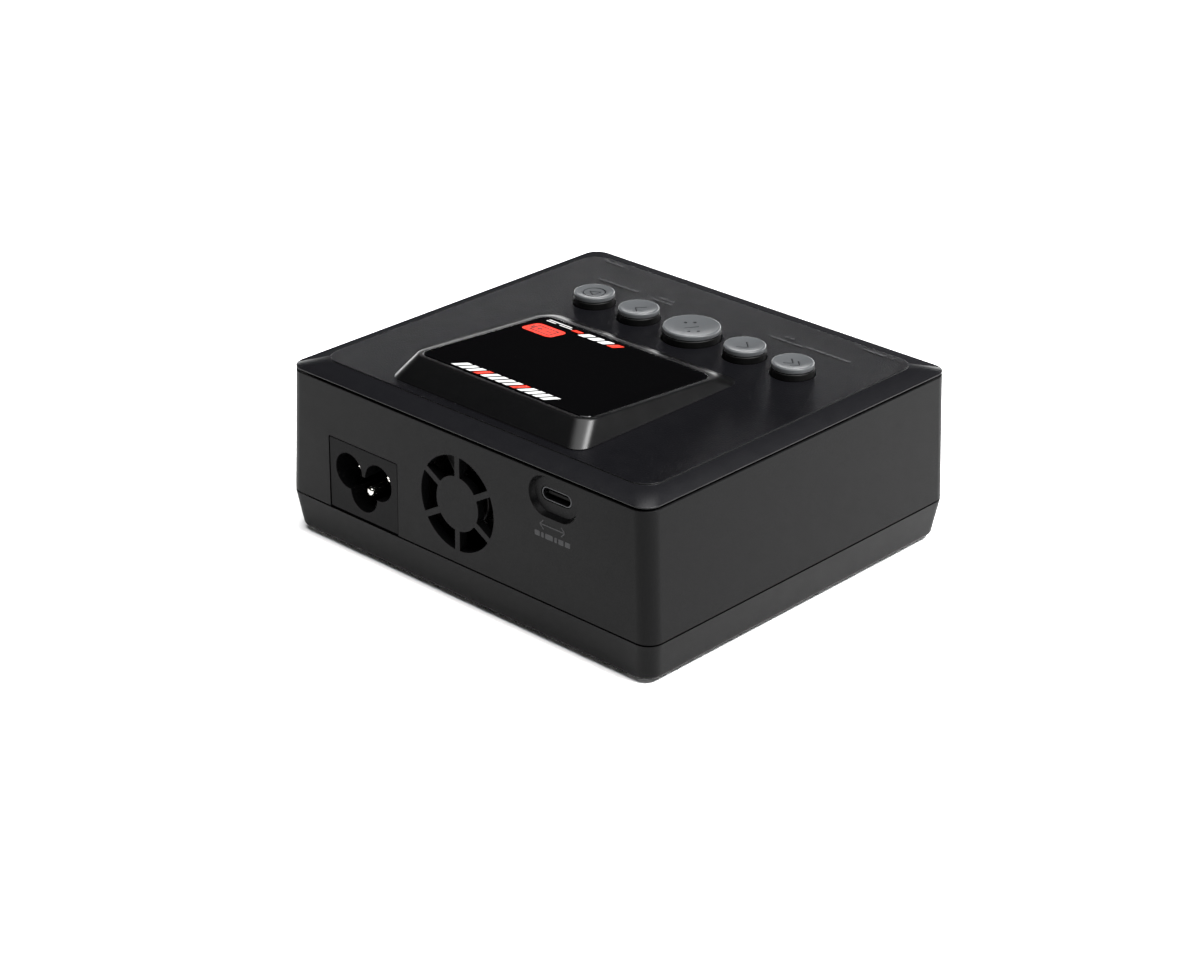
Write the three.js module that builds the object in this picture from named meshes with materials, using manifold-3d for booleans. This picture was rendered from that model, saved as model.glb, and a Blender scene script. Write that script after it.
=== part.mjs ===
// Desktop balance charger: a three-piece moulded case with a raised display, five keys,
// a mains inlet, a cooling fan and a data port behind, and two output channels in front.
// Millimetres, +Z up, +Y is the rear, the origin is under the middle of the case on the table.

import * as THREE from 'three';
import { mergeVertices } from 'three/addons/utils/BufferGeometryUtils.js';
import Module from 'manifold-3d';

// ---------------------------------------------------------------- driving dimensions

const GAP = 0.3; // clearance between pieces that are fitted to each other
const JOIN = 0.3; // how far solids that become one piece run into each other

// case
const CASE_WIDTH = 114; // across X at the upper seam
const CASE_DEPTH = 106; // along Y at the upper seam
const CORNER_RADIUS = 4;
const WALL = 2.2;
const SIDE_FLARE = 1.6; // how much wider each side is at the lower seam
const END_FLARE = 0.2; // the same for the front and the rear wall
const FOOT_DROP = 1; // how far the feet stand below the tray
const TRAY_HEIGHT = 9.6;
const TRAY_TAPER = 1.15;
const TRAY_EDGE = 1.2; // radius of the tray's bottom edge
const HOUSING_HEIGHT = 32.1;
const HOUSING_CHAMFER = 0.35;

// top cover
const COVER_RISE = 2.3; // from the upper seam to the raised panel
const COVER_LIP = 0.5;
const EDGE_BREAK = 0.15;
const PANEL_INSET_X = 5.1;
const PANEL_INSET_Y = 5.8;
const PANEL_STEP = 0.35;
const PANEL_CORNER = 5;
const STEP_SETBACK = 0.1; // how far the step stands back from the sloping band's top edge
const RIM_DEPTH = 3.2; // the locating rim that drops into the housing
const RIM_THICKNESS = 1.4;
const RIM_GAP = 0.4;

// display
const LENS_WIDTH = 53.4;
const LENS_DEPTH = 42.9;
const LENS_THICKNESS = 1.2;
const LENS_CORNER = 2.8;
const LENS_X = 1.35;
const LENS_Y = 16.85;
const LENS_RISE_FRONT = 1.95; // above the panel at the lens's front edge
const LENS_RISE_REAR = 5.1; // and at its rear edge
const BEZEL_RIM = 0.7;
const BEZEL_SPREAD_SIDE = 3.3; // how far each wall runs out from the rim to the panel
const BEZEL_SPREAD_REAR = 5.8;
const BEZEL_SPREAD_FRONT = 4.9;
const BEZEL_LEDGE = 1.6;
const WINDOW_CORNER = 1.5;
const BEZEL_SEAT = 0.1; // air between bezel and panel
const LCD_MARGIN = 1.85; // between the LCD module and the bezel's window
const LCD_THICKNESS = 2.6;

// keys
const KEY_RADIUS = 5.05;
const ENTER_KEY_RADIUS = 7.05;
const KEY_Y = -22.4;
const KEY_X = [29.1, 14.3, -2.9, -19.6, -34.3];
const ENTER_KEY = 2; // index of the large key
const KEY_HEIGHT = 3; // rim of the cap above the panel
const KEY_CAP_BASE = 1.75;
const KEY_DISH = 0.35;
const KEY_TRAVEL = 0.8;
const SKIRT_PROUD = 0.12; // how much wider the skirt is than its cap
const SKIRT_HEIGHT = 1.6;
const SKIRT_FLANGE = 1.1;
const SKIRT_FLANGE_THICKNESS = 0.8;
const STEM_SHARE = 0.6; // radius of the stem as a share of the skirt's
const PLUNGER_RADIUS = 1.5;
const PLUNGER_LENGTH = 1; // how far it reaches into the switch at rest
const SWITCH_SIZE = 6;
const SWITCH_HEIGHT = 3.6;

// rear wall: mains inlet, heights measured from the lower seam
const INLET_WIDTH = 22.9;
const INLET_HEIGHT = 17.9;
const INLET_DEPTH = 20;
const INLET_X = 32;
const INLET_Z = 9.3;
const INLET_SOCKET_DEPTH = 13;
const LOBE_RADIUS = 4.5;
const LIVE_OFFSET_X = 5; // live and neutral stand this far each side of the middle
const LIVE_OFFSET_Z = 2;
const EARTH_OFFSET_Z = -2.45;
const PIN_RADIUS = 1.2;
const LIVE_PIN_RECESS = 3.6; // how far the pin's tip lies inside the socket
const EARTH_PIN_RECESS = 1.8;
const PIN_TAIL = 4; // how far the pin sticks out inside the case

// rear wall: fan
const FAN_SIZE = 25;
const FAN_DEPTH = 10;
const FAN_X = 0.6;
const FAN_DROP = 1.05; // how far its axis lies below the middle of the housing
const GRILLE_RADIUS = 11.7;
const GRILLE_DISC_RADIUS = 6.7;
const GRILLE_SPOKES = 6;
const GRILLE_SPOKE_WIDTH = 1.5;
const FAN_BORE_RADIUS = 11.9;
const FAN_HUB_RADIUS = 6.2;
const FAN_BLADES = 7;
const FAN_BLADE_THICKNESS = 0.9;
const FAN_BLADE_PITCH = 0.62;
const FAN_SHAFT_RADIUS = 1;
const FAN_SET_BACK = 0.5; // from the wall's inner face to the fan's frame
const FAN_BASE = 1.4; // thickness of the plate that holds the bearing
const FAN_ARMS = 3;
const FAN_ARM_WIDTH = 2;
const BEARING_RADIUS = 2.2;
const BEARING_LENGTH = 4.4;
const ROTOR_DEPTH = 4.5; // from the fan's front to the middle of its blades

// rear wall: data port
const PORT_X = -29.3;
const PORT_DROP = 6; // below the upper seam
const POCKET_WIDTH = 14.6;
const POCKET_HEIGHT = 9.7;
const POCKET_DEPTH = 1.2;
const POCKET_SLOPE = 0.8;
const PORT_WIDTH = 8.94;
const PORT_HEIGHT = 3.16;
const PORT_LENGTH = 7.4;
const PORT_SHEET = 0.3;
const TONGUE_WIDTH = 6.6;
const TONGUE_THICKNESS = 0.7;

// front wall: output channels
const CHANNEL_Z = 8; // from the lower seam
const OUTPUT_X = 13;
const OUTPUT_WIDTH = 18;
const OUTPUT_HEIGHT = 10.4;
const OUTPUT_DEPTH = 13;
const OUTPUT_WALL = 1.2;
const OUTPUT_CAVITY_DEPTH = 9.5;
const BLADE_OFFSET = 4.6;
const BLADE_THICKNESS = 1.4;
const BLADE_HEIGHT = 5;
const BLADE_RECESS = 1.5;
const BALANCE_X = 35;
const BALANCE_PINS = 7;
const BALANCE_PITCH = 2.5;
const BALANCE_HEIGHT = 6.4;
const BALANCE_DEPTH = 11.4;
const BALANCE_WALL = 0.8;
const BALANCE_CAVITY_DEPTH = 8.6;
const BALANCE_END_ROOM = 2.45; // from the middle of the last pin to the end of the housing
const BALANCE_PIN = 0.64;
const BALANCE_PIN_RECESS = 4.7;
const BALANCE_STRIP = 1.2; // thickness of the strip that carries the pins
const BALANCE_TAIL = 1.3; // how far the pins stick out behind the strip

// fasteners and feet
const SCREW_INSET_X = 6.2; // from the case's side at the upper seam
const SCREW_INSET_Y = 6.1;
const SCREW_RADIUS = 1.4;
const SCREW_HEAD_RADIUS = 2.8;
const SCREW_HEAD_HEIGHT = 1.8;
const COUNTERBORE = 3.6;
const SCREW_END = 2; // from the screw's point to the upper seam
const DRIVE_LENGTH = 3.4; // the cross in the screw's head
const DRIVE_WIDTH = 0.7;
const BOSS_RADIUS = 3.6;
const POST_RADIUS = 3.4; // the cover's screw posts
const POST_LENGTH = 8.7;
const FOOT_RADIUS = 5;
const FOOT_SINK = 1; // depth of the recess that holds the foot
const FOOT_X = 42;
const FOOT_Y = 37;
const RIB = 2; // thickness of the ribs that tie a screw guide to its walls
const INTAKE_SLOTS = 9; // air slots in the tray's floor
const INTAKE_PITCH = 5;
const INTAKE_WIDTH = 2.2;
const INTAKE_LENGTH = 26;

// boards
const BOARD = 1.6;
const STANDOFF = 3.1;
const STANDOFF_RADIUS = 2.6;
const STANDOFF_INSET_Y = 22; // from the main board's front and rear edges
const PILLAR_RADIUS = 2.2; // the pillars hold the control board under the cover
const PILLAR_INSET_X = 4; // from the boards' side edges to pillars and standoffs
const PILLAR_INSET_FRONT = 6;
const PILLAR_INSET_REAR = 23;
const BOARD_SIDE_ROOM = 11; // from each side of the case to both boards
const MAIN_BOARD_END_ROOM = 4.4; // from the front and the rear of the case
const CONTROL_BOARD_END_ROOM = 6;
const HEADROOM = 5; // between the tallest power parts and the control board

// parts on the main board
const CORE_WIDTH = 26;
const CORE_DEPTH = 12;
const CORE_LEG = 5;
const TRANSFORMER_X = 14;
const TRANSFORMER_Y = 2;
const CAPACITOR_RADIUS = 8;
const CAPACITOR_X = 37;
const CAPACITOR_Y = 10;
const SINK_LENGTH = 36;
const SINK_DROP = 1; // how much lower the heat sinks are than the transformer
const SINK_FIN_DEPTH = 6;
const SINK_FINS = 8;
const CHOKE_RADIUS = 7;
const CHOKE_BORE = 3;
const CHOKE_WIDTH = 7;
const CHOKE_X = 10;
const CHOKE_Y = 26.8;
const RECTIFIER_SINK_X = -10;
const OUTPUT_SINK_X = -34;
const FUSE_X = 41;
const FUSE_Y = -18;
const FUSE_RADIUS = 2.6;
const FUSE_LENGTH = 10;
const INDUCTOR_RADIUS = 6;
const INDUCTOR_BORE = 2.4;
const INDUCTOR_WIDTH = 7;
const INDUCTOR_Y = -28;
const BUZZER_X = -38;
const BUZZER_Y = 6;
const BUZZER_RADIUS = 4.5;
const BUZZER_HEIGHT = 4.6;
const PART_GAP = 0.05; // under a part that stands on its board

// ---------------------------------------------------------------- levels and half sizes

const trayBottom = FOOT_DROP;
const lowSeam = trayBottom + TRAY_HEIGHT;
const topSeam = lowSeam + HOUSING_HEIGHT;
const panelTop = topSeam + COVER_RISE;
const trayFloor = trayBottom + WALL;
const halfTopX = CASE_WIDTH / 2;
const halfTopY = CASE_DEPTH / 2;
const halfLowX = halfTopX + SIDE_FLARE;
const halfLowY = halfTopY + END_FLARE;
const coverUnder = topSeam + GAP / 2; // underside of the cover's plate
const rearFace = halfTopY; // flush plane for what shows in the rear wall
const frontFace = -halfTopY;
const rearInner = rearFace - WALL;
const fanFront = rearInner - FAN_SET_BACK;
const fanRear = fanFront - FAN_DEPTH;
const mainBoardTop = trayFloor + STANDOFF + GAP + BOARD;
const portLevel = topSeam - PORT_DROP;
const controlBoardTop = portLevel - PORT_HEIGHT / 2;
const inletLevel = lowSeam + INLET_Z;
const fanLevel = lowSeam + HOUSING_HEIGHT / 2 - FAN_DROP;
const channelLevel = lowSeam + CHANNEL_Z;
const boardHalfX = halfTopX - BOARD_SIDE_ROOM;
const mainBoardHalfY = halfTopY - MAIN_BOARD_END_ROOM;
const controlBoardHalfY = halfTopY - CONTROL_BOARD_END_ROOM;
const onBoard = mainBoardTop + GAP;
const tallPart = controlBoardTop - BOARD - HEADROOM - onBoard; // height of the tallest power parts
const sinkHeight = tallPart - SINK_DROP;
const screwX = halfTopX - SCREW_INSET_X;
const screwY = halfTopY - SCREW_INSET_Y;
const postBottom = topSeam - POST_LENGTH;
const balanceReach = (BALANCE_PINS - 1) * BALANCE_PITCH / 2; // from the middle to the last pin
const balanceWidth = 2 * (balanceReach + BALANCE_END_ROOM);
const corners = [[1, 1], [-1, 1], [-1, -1], [1, -1]];

// ---------------------------------------------------------------- solids

const wasm = await Module();
wasm.setup();

// A closed geometry as a solid that can be joined and cut.
function solid(geometry) {
  const bare = geometry.index ? geometry.toNonIndexed() : geometry.clone();
  bare.deleteAttribute('normal');
  bare.deleteAttribute('uv');
  const merged = mergeVertices(bare, 1e-4);
  const mesh = new wasm.Mesh({
    numProp: 3,
    vertProperties: new Float32Array(merged.attributes.position.array),
    triVerts: new Uint32Array(merged.index.array),
  });
  return new wasm.Manifold(mesh);
}

function geometryOf(body) {
  const mesh = body.getMesh();
  const geometry = new THREE.BufferGeometry();
  geometry.setAttribute('position', new THREE.BufferAttribute(new Float32Array(mesh.vertProperties), 3));
  geometry.setIndex(new THREE.BufferAttribute(new Uint32Array(mesh.triVerts), 1));
  return geometry;
}

// Joins the first list of geometries and cuts the second list from the result.
function build(parts, cuts = []) {
  let body = solid(parts[0]);
  for (const part of parts.slice(1)) body = body.add(solid(part));
  for (const cut of cuts) body = body.subtract(solid(cut));
  return geometryOf(body);
}

// ---------------------------------------------------------------- shapes

function roundedRect(halfX, halfY, radius) {
  const shape = new THREE.Shape();
  shape.absarc(halfX - radius, halfY - radius, radius, 0, Math.PI / 2);
  shape.absarc(radius - halfX, halfY - radius, radius, Math.PI / 2, Math.PI);
  shape.absarc(radius - halfX, radius - halfY, radius, Math.PI, 1.5 * Math.PI);
  shape.absarc(halfX - radius, radius - halfY, radius, 1.5 * Math.PI, 2 * Math.PI);
  return shape;
}

const box = (x0, x1, y0, y1, z0, z1) =>
  new THREE.BoxGeometry(x1 - x0, y1 - y0, z1 - z0)
    .translate((x0 + x1) / 2, (y0 + y1) / 2, (z0 + z1) / 2);

// An upright cylinder from z0 to z1.
const post = (radius, x, y, z0, z1, segments = 12) =>
  new THREE.CylinderGeometry(radius, radius, z1 - z0, segments)
    .rotateX(Math.PI / 2).translate(x, y, (z0 + z1) / 2);

// A cylinder that lies along Y, from y0 to y1.
const bar = (radius, x, z, y0, y1, segments = 16) =>
  new THREE.CylinderGeometry(radius, radius, y1 - y0, segments)
    .translate(x, (y0 + y1) / 2, z);

const prism = (shape, z0, z1, curveSegments = 3) =>
  new THREE.ExtrudeGeometry(shape, { depth: z1 - z0, bevelEnabled: false, curveSegments })
    .translate(0, 0, z0);

// A shape drawn upright in X and Z, running from y0 to y1 through a front or rear wall.
const wallPrism = (shape, x, z, y0, y1, curveSegments = 3) =>
  prism(shape, 0, y1 - y0, curveSegments).rotateX(Math.PI / 2).translate(x, y1, z);

// A rounded block whose outline moves in or out from level to level. Each level is
// [z, inset along X, inset along Y], and its corners keep their radius.
function tapered(halfX, halfY, radius, levels) {
  const steps = levels.length - 1;
  const geometry = new THREE.ExtrudeGeometry(roundedRect(halfX, halfY, radius), {
    depth: steps,
    steps,
    bevelEnabled: false,
    curveSegments: 3,
  });
  const position = geometry.attributes.position;
  for (let i = 0; i < position.count; i += 1) {
    const [z, insetX, insetY] = levels[Math.round(position.getZ(i))];
    const x = position.getX(i);
    const y = position.getY(i);
    position.setXYZ(i, x - Math.sign(x) * insetX, y - Math.sign(y) * insetY, z);
  }
  return geometry;
}

// A turned piece about Z from [radius, z] points that start and end on the axis.
const turned = (profile, segments) =>
  new THREE.LatheGeometry(profile.map(([r, z]) => new THREE.Vector2(r, z)), segments)
    .rotateX(Math.PI / 2);

// ---------------------------------------------------------------- scene helpers

const charger = new THREE.Group();

const plastic = { color: 0x1c1c1e, roughness: 0.55, metalness: 0 };
const finishes = {
  casePlastic: plastic,
  bezelPlastic: { color: 0x18181a, roughness: 0.32, metalness: 0 },
  lensGlass: { color: 0x050506, roughness: 0.05, metalness: 0 },
  keyGrey: { color: 0x6e6f70, roughness: 0.5, metalness: 0 },
  skirtBlack: { color: 0x0b0b0c, roughness: 0.6, metalness: 0 },
  socketBlack: { color: 0x101011, roughness: 0.45, metalness: 0 },
  steel: { color: 0xb8b9bc, roughness: 0.28, metalness: 1 },
  brass: { color: 0xc9a24a, roughness: 0.3, metalness: 1 },
  board: { color: 0x14532d, roughness: 0.5, metalness: 0 },
  fanPlastic: { color: 0x131314, roughness: 0.5, metalness: 0 },
  rubber: { color: 0x17171a, roughness: 0.85, metalness: 0 },
  ferrite: { color: 0x2c2c30, roughness: 0.7, metalness: 0.1 },
  windingTape: { color: 0xd7b23a, roughness: 0.5, metalness: 0 },
  aluminium: { color: 0xa9abae, roughness: 0.35, metalness: 1 },
  sleeve: { color: 0x1d2b52, roughness: 0.4, metalness: 0 },
  copper: { color: 0xa8562a, roughness: 0.35, metalness: 1 },
  display: { color: 0x0a0c10, roughness: 0.2, metalness: 0 },
};

function addMesh(name, geometry, finish, parent = charger) {
  const mesh = new THREE.Mesh(geometry, new THREE.MeshStandardMaterial(finishes[finish]));
  mesh.name = name;
  parent.add(mesh);
  return mesh;
}

// ---------------------------------------------------------------- base tray

// Levels of the tray's outer wall, from its bottom edge's round up to the seam.
function trayLevels() {
  const levels = [];
  const arcSteps = 3;
  for (let i = 0; i <= arcSteps; i += 1) {
    const angle = (i / arcSteps) * (Math.PI / 2);
    const inset = TRAY_TAPER + TRAY_EDGE * (1 - Math.sin(angle));
    levels.push([trayBottom + TRAY_EDGE * (1 - Math.cos(angle)), inset, inset]);
  }
  levels.push([lowSeam - GAP / 2, 0, 0]);
  return levels;
}

function baseTray() {
  const shell = tapered(halfLowX, halfLowY, CORNER_RADIUS, trayLevels());
  const hollow = tapered(halfLowX - WALL, halfLowY - WALL, CORNER_RADIUS - WALL / 2, [
    [trayFloor, TRAY_TAPER, TRAY_TAPER],
    [lowSeam + 1, 0, 0],
  ]);
  const open = build([shell], [hollow]);
  const bosses = [];
  const holes = [];
  for (const [sx, sy] of corners) {
    bosses.push(post(BOSS_RADIUS, sx * screwX, sy * screwY, trayFloor - 0.5, lowSeam - GAP / 2));
    holes.push(post(SCREW_RADIUS + GAP, sx * screwX, sy * screwY, 0, lowSeam + 1));
    const headRoom = SCREW_HEAD_RADIUS + GAP;
    holes.push(post(headRoom, sx * screwX, sy * screwY, 0, trayBottom + COUNTERBORE));
    const footRecess = FOOT_RADIUS + GAP;
    holes.push(post(footRecess, sx * FOOT_X, sy * FOOT_Y, 0, trayBottom + FOOT_SINK, 16));
    const standX = sx * (boardHalfX - PILLAR_INSET_X);
    const standY = sy * (mainBoardHalfY - STANDOFF_INSET_Y);
    bosses.push(post(STANDOFF_RADIUS, standX, standY, trayFloor - 0.5, trayFloor + STANDOFF));
  }
  const slotX = INTAKE_WIDTH / 2;
  const slotY = INTAKE_LENGTH / 2;
  for (let i = 0; i < INTAKE_SLOTS; i += 1) {
    const x = (i - (INTAKE_SLOTS - 1) / 2) * INTAKE_PITCH;
    holes.push(box(x - slotX, x + slotX, -slotY, slotY, 0, trayFloor + 1));
  }
  return build([open, ...bosses], holes);
}

// ---------------------------------------------------------------- middle housing

// The six air slots of the fan grille as one list of cutting wedges.
function grilleSlots() {
  const slots = [];
  const sector = (2 * Math.PI) / GRILLE_SPOKES;
  const insideAngle = Math.asin(GRILLE_SPOKE_WIDTH / 2 / GRILLE_DISC_RADIUS);
  const outsideAngle = Math.asin(GRILLE_SPOKE_WIDTH / 2 / GRILLE_RADIUS);
  for (let i = 0; i < GRILLE_SPOKES; i += 1) {
    const middle = i * sector;
    const shape = new THREE.Shape();
    const half = sector / 2;
    shape.absarc(0, 0, GRILLE_RADIUS, middle - half + outsideAngle, middle + half - outsideAngle);
    shape.absarc(0, 0, GRILLE_DISC_RADIUS, middle + half - insideAngle, middle - half + insideAngle, true);
    shape.closePath();
    slots.push(wallPrism(shape, FAN_X, fanLevel, rearInner - 2, rearFace + 2, 4));
  }
  return slots;
}

const stadium = (width, height) => roundedRect(width / 2, height / 2, height / 2 - 0.001);

// The data port's pocket: a stadium whose sides slope in to a flat floor.
function portPocket() {
  const pocket = prism(stadium(POCKET_WIDTH, POCKET_HEIGHT), 0, 1, 4);
  const position = pocket.attributes.position;
  const depth = POCKET_DEPTH;
  for (let i = 0; i < position.count; i += 1) {
    const deep = position.getZ(i) > 0.5;
    const x = position.getX(i);
    const y = position.getY(i);
    const shrink = deep ? 1 - (2 * POCKET_SLOPE) / POCKET_HEIGHT : 1;
    const end = Math.sign(x) * (POCKET_WIDTH - POCKET_HEIGHT) / 2;
    position.setXYZ(i, end + (x - end) * shrink, y * shrink, deep ? depth : -END_FLARE - 0.3);
  }
  return pocket.rotateX(Math.PI / 2).translate(PORT_X, rearFace, portLevel);
}

function midHousing() {
  const top = topSeam - GAP / 2;
  const shell = tapered(halfLowX, halfLowY, CORNER_RADIUS, [
    [lowSeam + GAP / 2, 0, 0],
    [top - HOUSING_CHAMFER, SIDE_FLARE, END_FLARE],
    [top, SIDE_FLARE + HOUSING_CHAMFER, END_FLARE + HOUSING_CHAMFER],
  ]);
  const hollow = tapered(halfLowX - WALL, halfLowY - WALL, CORNER_RADIUS - WALL / 2, [
    [lowSeam - 1, 0, 0],
    [topSeam + 1, SIDE_FLARE, END_FLARE],
  ]);
  const ring = build([shell], [hollow]);
  const guides = [];
  const cuts = [...grilleSlots(), portPocket()];
  for (const [sx, sy] of corners) {
    const [x, y] = [sx * screwX, sy * screwY];
    const [z0, z1] = [lowSeam + GAP, postBottom - GAP];
    guides.push(post(BOSS_RADIUS, x, y, z0, z1));
    const wallX = sx * (halfTopX - WALL / 2);
    const wallY = sy * (halfTopY - WALL / 2);
    guides.push(box(Math.min(x, wallX), Math.max(x, wallX), y - RIB / 2, y + RIB / 2, z0, z1));
    guides.push(box(x - RIB / 2, x + RIB / 2, Math.min(y, wallY), Math.max(y, wallY), z0, z1));
    cuts.push(post(SCREW_RADIUS + 2 * GAP, x, y, lowSeam, postBottom + 1));
  }
  const portHole = stadium(PORT_WIDTH + 2 * GAP, PORT_HEIGHT + 2 * GAP);
  cuts.push(wallPrism(portHole, PORT_X, portLevel, rearInner - 2, rearFace));
  const inletX = INLET_WIDTH / 2 + GAP;
  const inletZ = INLET_HEIGHT / 2 + GAP;
  cuts.push(box(INLET_X - inletX, INLET_X + inletX, rearInner - 2, rearFace + 2,
    inletLevel - inletZ, inletLevel + inletZ));
  for (const side of [-1, 1]) {
    const outputX = OUTPUT_WIDTH / 2 + GAP;
    const outputZ = OUTPUT_HEIGHT / 2 + GAP;
    const outputHole = roundedRect(outputX, outputZ, 2 + GAP);
    cuts.push(wallPrism(outputHole, side * OUTPUT_X, channelLevel, frontFace - 2, frontFace + WALL + 2));
    const balanceX = balanceWidth / 2 + GAP;
    const balanceZ = BALANCE_HEIGHT / 2 + GAP;
    cuts.push(box(side * BALANCE_X - balanceX, side * BALANCE_X + balanceX,
      frontFace - 2, frontFace + WALL + 2, channelLevel - balanceZ, channelLevel + balanceZ));
  }
  return build([ring, ...guides], cuts);
}

// ---------------------------------------------------------------- top cover

const lensHalfX = LENS_WIDTH / 2;
const lensHalfY = LENS_DEPTH / 2;
const windowHalfX = lensHalfX - BEZEL_LEDGE;
const windowHalfY = lensHalfY - BEZEL_LEDGE;
const skirtRadius = (index) => (index === ENTER_KEY ? ENTER_KEY_RADIUS : KEY_RADIUS) + SKIRT_PROUD;

function topCover() {
  const [insetX, insetY] = [PANEL_INSET_X, PANEL_INSET_Y];
  const band = tapered(halfTopX, halfTopY, CORNER_RADIUS, [
    [coverUnder, EDGE_BREAK, EDGE_BREAK],
    [coverUnder + EDGE_BREAK, 0, 0],
    [coverUnder + COVER_LIP - EDGE_BREAK, 0, 0],
    [coverUnder + COVER_LIP, EDGE_BREAK, EDGE_BREAK],
    [panelTop - PANEL_STEP, insetX, insetY],
  ]);
  const panel = prism(
    roundedRect(halfTopX - insetX - STEP_SETBACK, halfTopY - insetY - STEP_SETBACK, PANEL_CORNER),
    coverUnder,
    panelTop,
  );
  const rimX = halfTopX - WALL - RIM_GAP;
  const rimY = halfTopY - WALL - RIM_GAP;
  const rim = build(
    [prism(roundedRect(rimX, rimY, 2), coverUnder - RIM_DEPTH, coverUnder + JOIN)],
    [prism(roundedRect(rimX - RIM_THICKNESS, rimY - RIM_THICKNESS, 1), 0, panelTop)],
  );
  const parts = [band, panel, rim];
  const fanRoom = FAN_SIZE / 2 + 1;
  const cuts = [
    prism(roundedRect(windowHalfX, windowHalfY, WINDOW_CORNER), coverUnder - 1, panelTop + 1)
      .translate(LENS_X, LENS_Y, 0),
    box(FAN_X - fanRoom, FAN_X + fanRoom, fanRear, halfTopY, coverUnder - RIM_DEPTH - 1, coverUnder),
  ];
  for (const [sx, sy] of corners) {
    const [x, y] = [sx * screwX, sy * screwY];
    parts.push(post(POST_RADIUS, x, y, postBottom, coverUnder + JOIN));
    cuts.push(post(SCREW_RADIUS + GAP, x, y, postBottom - 1, topSeam - 1));
    const pillarX = sx * (boardHalfX - PILLAR_INSET_X);
    const pillarY = sy * (controlBoardHalfY - (sy < 0 ? PILLAR_INSET_FRONT : PILLAR_INSET_REAR));
    parts.push(post(PILLAR_RADIUS, pillarX, pillarY, controlBoardTop + GAP, coverUnder + JOIN));
  }
  KEY_X.forEach((x, index) => {
    cuts.push(post(skirtRadius(index) + GAP, x, KEY_Y, coverUnder - 1, panelTop + 1, 20));
  });
  return build(parts, cuts);
}

// ---------------------------------------------------------------- display

const lensTilt = Math.atan2(LENS_RISE_REAR - LENS_RISE_FRONT, LENS_DEPTH);
const lensMiddle = panelTop + (LENS_RISE_FRONT + LENS_RISE_REAR) / 2;
const lensPlane = (y) => lensMiddle + (y - LENS_Y) * Math.tan(lensTilt);

// A flat block in the lens's tilted plane, between two depths below its face.
const tiltedBlock = (halfX, halfY, radius, top, bottom) =>
  prism(roundedRect(halfX, halfY / Math.cos(lensTilt), radius), -bottom, -top)
    .rotateX(lensTilt).translate(LENS_X, LENS_Y, lensMiddle);

function displayBezel() {
  const baseX = lensHalfX + BEZEL_RIM + BEZEL_SPREAD_SIDE;
  const rearY = lensHalfY + BEZEL_RIM + BEZEL_SPREAD_REAR;
  const frontY = lensHalfY + BEZEL_RIM + BEZEL_SPREAD_FRONT;
  const baseY = (rearY + frontY) / 2;
  const middleY = (rearY - frontY) / 2;
  const wedge = new THREE.ExtrudeGeometry(roundedRect(baseX, baseY, LENS_CORNER + BEZEL_RIM), {
    depth: 1,
    bevelEnabled: false,
    curveSegments: 3,
  });
  const position = wedge.attributes.position;
  for (let i = 0; i < position.count; i += 1) {
    const high = position.getZ(i) > 0.5;
    const x = position.getX(i);
    const y = position.getY(i) + middleY;
    const inX = Math.sign(x) * BEZEL_SPREAD_SIDE;
    const inY = position.getY(i) > 0 ? BEZEL_SPREAD_REAR : -BEZEL_SPREAD_FRONT;
    const [px, py] = high ? [x - inX + LENS_X, y - inY + LENS_Y] : [x + LENS_X, y + LENS_Y];
    position.setXYZ(i, px, py, high ? lensPlane(py) : panelTop + BEZEL_SEAT);
  }
  const seat = tiltedBlock(lensHalfX + GAP, lensHalfY + GAP, LENS_CORNER, -2, LENS_THICKNESS + GAP);
  const window = prism(roundedRect(windowHalfX, windowHalfY, WINDOW_CORNER), panelTop - 1, panelTop + 12)
    .translate(LENS_X, LENS_Y, 0);
  return build([wedge], [seat, window]);
}

// ---------------------------------------------------------------- keys

const capUnder = panelTop + KEY_CAP_BASE;

// A dished cap with rounded edges. Heights are measured from its underside.
function keyCap(radius) {
  const height = KEY_HEIGHT - KEY_CAP_BASE;
  return turned([
    [0, 0],
    [radius - 0.3, 0],
    [radius, 0.3],
    [radius, height - 0.45],
    [radius - 0.5, height],
    [radius - 0.8, height],
    [radius * 0.55, height - KEY_DISH * 0.75],
    [0, height - KEY_DISH],
  ], 20);
}

// The skirt under a cap: it slides in the cover, its flange keeps it in, and its stem
// ends in the plunger that works the switch.
function keySkirt(radius) {
  const top = SKIRT_HEIGHT;
  const stemRadius = radius * STEM_SHARE;
  const flangeTop = coverUnder - GAP - panelTop;
  const flangeUnder = flangeTop - SKIRT_FLANGE_THICKNESS;
  const stemUnder = controlBoardTop + SWITCH_HEIGHT + KEY_TRAVEL + GAP - panelTop;
  const plungerEnd = stemUnder - KEY_TRAVEL - GAP - PLUNGER_LENGTH;
  return turned([
    [0, plungerEnd],
    [PLUNGER_RADIUS, plungerEnd],
    [PLUNGER_RADIUS, stemUnder],
    [stemRadius, stemUnder],
    [stemRadius, flangeUnder],
    [radius + SKIRT_FLANGE, flangeUnder],
    [radius + SKIRT_FLANGE, flangeTop],
    [radius, flangeTop],
    [radius, top],
    [0, top],
  ], 20);
}

function keySwitch() {
  const half = SWITCH_SIZE / 2;
  const wellDepth = PLUNGER_LENGTH + KEY_TRAVEL + 2 * GAP;
  return build(
    [box(-half, half, -half, half, 0, SWITCH_HEIGHT)],
    [post(PLUNGER_RADIUS + GAP, 0, 0, SWITCH_HEIGHT - wellDepth, SWITCH_HEIGHT + 1, 16)],
  );
}

// ---------------------------------------------------------------- rear wall pieces

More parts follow.
